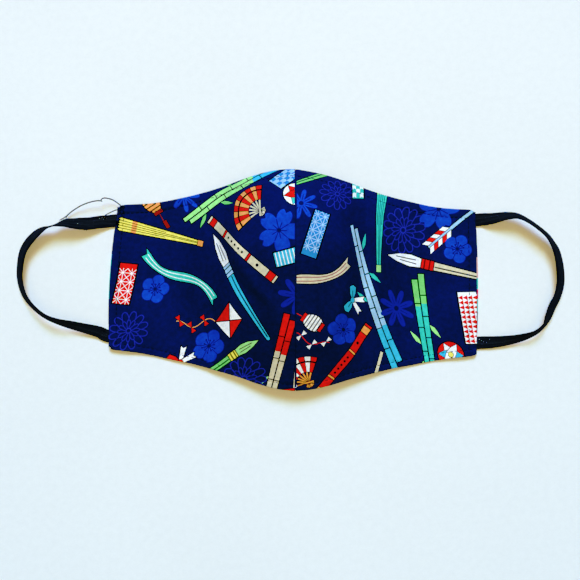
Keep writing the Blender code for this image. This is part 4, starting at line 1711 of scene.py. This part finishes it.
runs = []
for radius, pitch, roots, rows in LOOSE_ENDS:
    points = [on_cloth(*root, ROOT_LIFT) for root in roots]
    points += [on_table(px, py, z * MM) for px, py, z in rows]
    runs.append((smooth_line(points, pitch * MM), radius * MM, 6))
tangle = smooth_line([on_cloth(px, py, lift * MM) for px, py, lift in TANGLE], TANGLE_PITCH)
runs.append((tangle, TANGLE_RADIUS, 6))
for px, py, right, down in FRAYS:
    height = on_elastic(px, py)[2]
    fibre = [on_table(px + right * k, py + down * k, height - k * FRAY_DROP) for k in (0.0, 0.5, 0.8, 1.0)]
    runs.append((fibre, FIBRE_RADIUS, 5))
thread_object("loose_thread", runs, DARK_THREAD, "black_elastic")

runs = []
# Pale lint fibres, together with the painted highlight on the curl of loose thread.
for px, py, half, slant in LINT_AND_PAINTED_GLINT:
    middle = on_elastic(px, py, LINT_AND_PAINTED_GLINT_LIFT)
    run = np.array([math.cos(math.radians(slant)), math.sin(math.radians(slant)), 0.0]) * half * MM
    runs.append(([middle + run * k for k in (-1.0, 0.0, 1.0)], FIBRE_RADIUS, 5))
thread_object("lint_and_painted_glint", runs, GREY_THREAD, "black_elastic")

runs = []
for px, py, half in TACKS:
    middle = on_cloth(px, py, TACK_LIFT)
    runs.append(([middle + (x * half * MM, 0, z * MM) for x, z in TACK_SHAPE], TACK_RADIUS, 6))
thread_object("seam_tacks", runs, PALE_THREAD, "printed_cotton")


# The table, the camera and the light.

TABLE_HALF = 60.0
SENSOR = 36.0
# Greenish window light and blue sky from the nose side: elevation and softness in degrees, strength, colour.
WINDOW = (57, 22, 1.20, (0.44, 1.0, 0.48))
SKY = (52, 22, 2.66, (0.025, 0.19, 1.0))
# Warm light from the ceiling: an even one at the camera and a wide soft one.
CEILING_COLOUR = (1.0, 0.715, 0.138)
CEILING_RADIUS, CEILING_POWER = 0.02, 13.5
CEILING_GLOW = (90, 60, 0.56, CEILING_COLOUR)
LAMP_PLACE, LAMP_TARGET = (0.0, 0.75, 0.95), (0, 0.05, 0)
LAMP_SIZE, LAMP_POWER, LAMP_COLOUR = 0.5, 3.2, (1.0, 0.75, 0.60)
ROOM_COLOUR, ROOM_STRENGTH = (0.81, 0.89, 1.0, 1.0), 0.15
# Plain colours, with the deep dark tones of the photograph.
TONES = (
    (0.02, 0.008), (0.048, 0.0205), (0.064, 0.038), (0.085, 0.076), (0.115, 0.138), (0.2, 0.222),
    (0.33, 0.33),
)

mesh = bpy.data.meshes.new("table_top")
corner_signs = ((-1, -1), (1, -1), (1, 1), (-1, 1))
mesh.from_pydata([(x * TABLE_HALF, y * TABLE_HALF, 0) for x, y in corner_signs], [], [(0, 1, 2, 3)])
table_top = add_object("table_top", mesh)
mesh.materials.append(table_material())


def add_light(name, kind, power, colour, **settings):
    data = bpy.data.lights.new(name, kind)
    data.energy = power
    data.color = colour
    for key, value in settings.items():
        setattr(data, key, value)
    return add_object(name, data)


def sun(name, elevation, softness, strength, colour):
    """Light from far off: from the nose side or, at 90 degrees, from straight above."""
    light = add_light(name, "SUN", strength, colour, angle=math.radians(softness))
    light.rotation_euler = (math.radians(elevation - 90), 0, 0)


def even_light(name, place, radius, power, colour):
    """A small light that is as bright far off as it is near."""
    light = add_light(name, "POINT", power, colour, shadow_soft_size=radius, use_nodes=True)
    light.location = place
    tree = light.data.node_tree
    falloff = tree.nodes.new("ShaderNodeLightFalloff")
    falloff.inputs["Strength"].default_value = 1.0
    tree.links.new(falloff.outputs["Constant"], tree.nodes["Emission"].inputs["Strength"])


camera = bpy.data.cameras.new("camera")
camera.sensor_width = SENSOR
camera.lens = SENSOR * CAMERA_HEIGHT / (PIXELS * PIXEL)
eye = add_object("camera", camera)
eye.location = on_table(PIXELS / 2, PIXELS / 2, CAMERA_HEIGHT)
bpy.context.scene.camera = eye

sun("window", *WINDOW)
sun("sky", *SKY)
even_light("ceiling", eye.location, CEILING_RADIUS, CEILING_POWER, CEILING_COLOUR)
sun("ceiling_glow", *CEILING_GLOW)
lamp = add_light("lamp", "AREA", LAMP_POWER, LAMP_COLOUR, shape="DISK", size=LAMP_SIZE)
lamp.location = LAMP_PLACE
lamp.rotation_euler = (Vector(LAMP_TARGET) - Vector(LAMP_PLACE)).to_track_quat("-Z", "Y").to_euler()

room = bpy.data.worlds.new("room")
room.use_nodes = True
background = room.node_tree.nodes["Background"]
background.inputs["Color"].default_value = ROOM_COLOUR
background.inputs["Strength"].default_value = ROOM_STRENGTH
bpy.context.scene.world = room

look = bpy.context.scene.view_settings
look.view_transform = "Standard"
look.use_curve_mapping = True
for x, y in TONES:
    look.curve_mapping.curves[3].points.new(x, y)
look.curve_mapping.update()
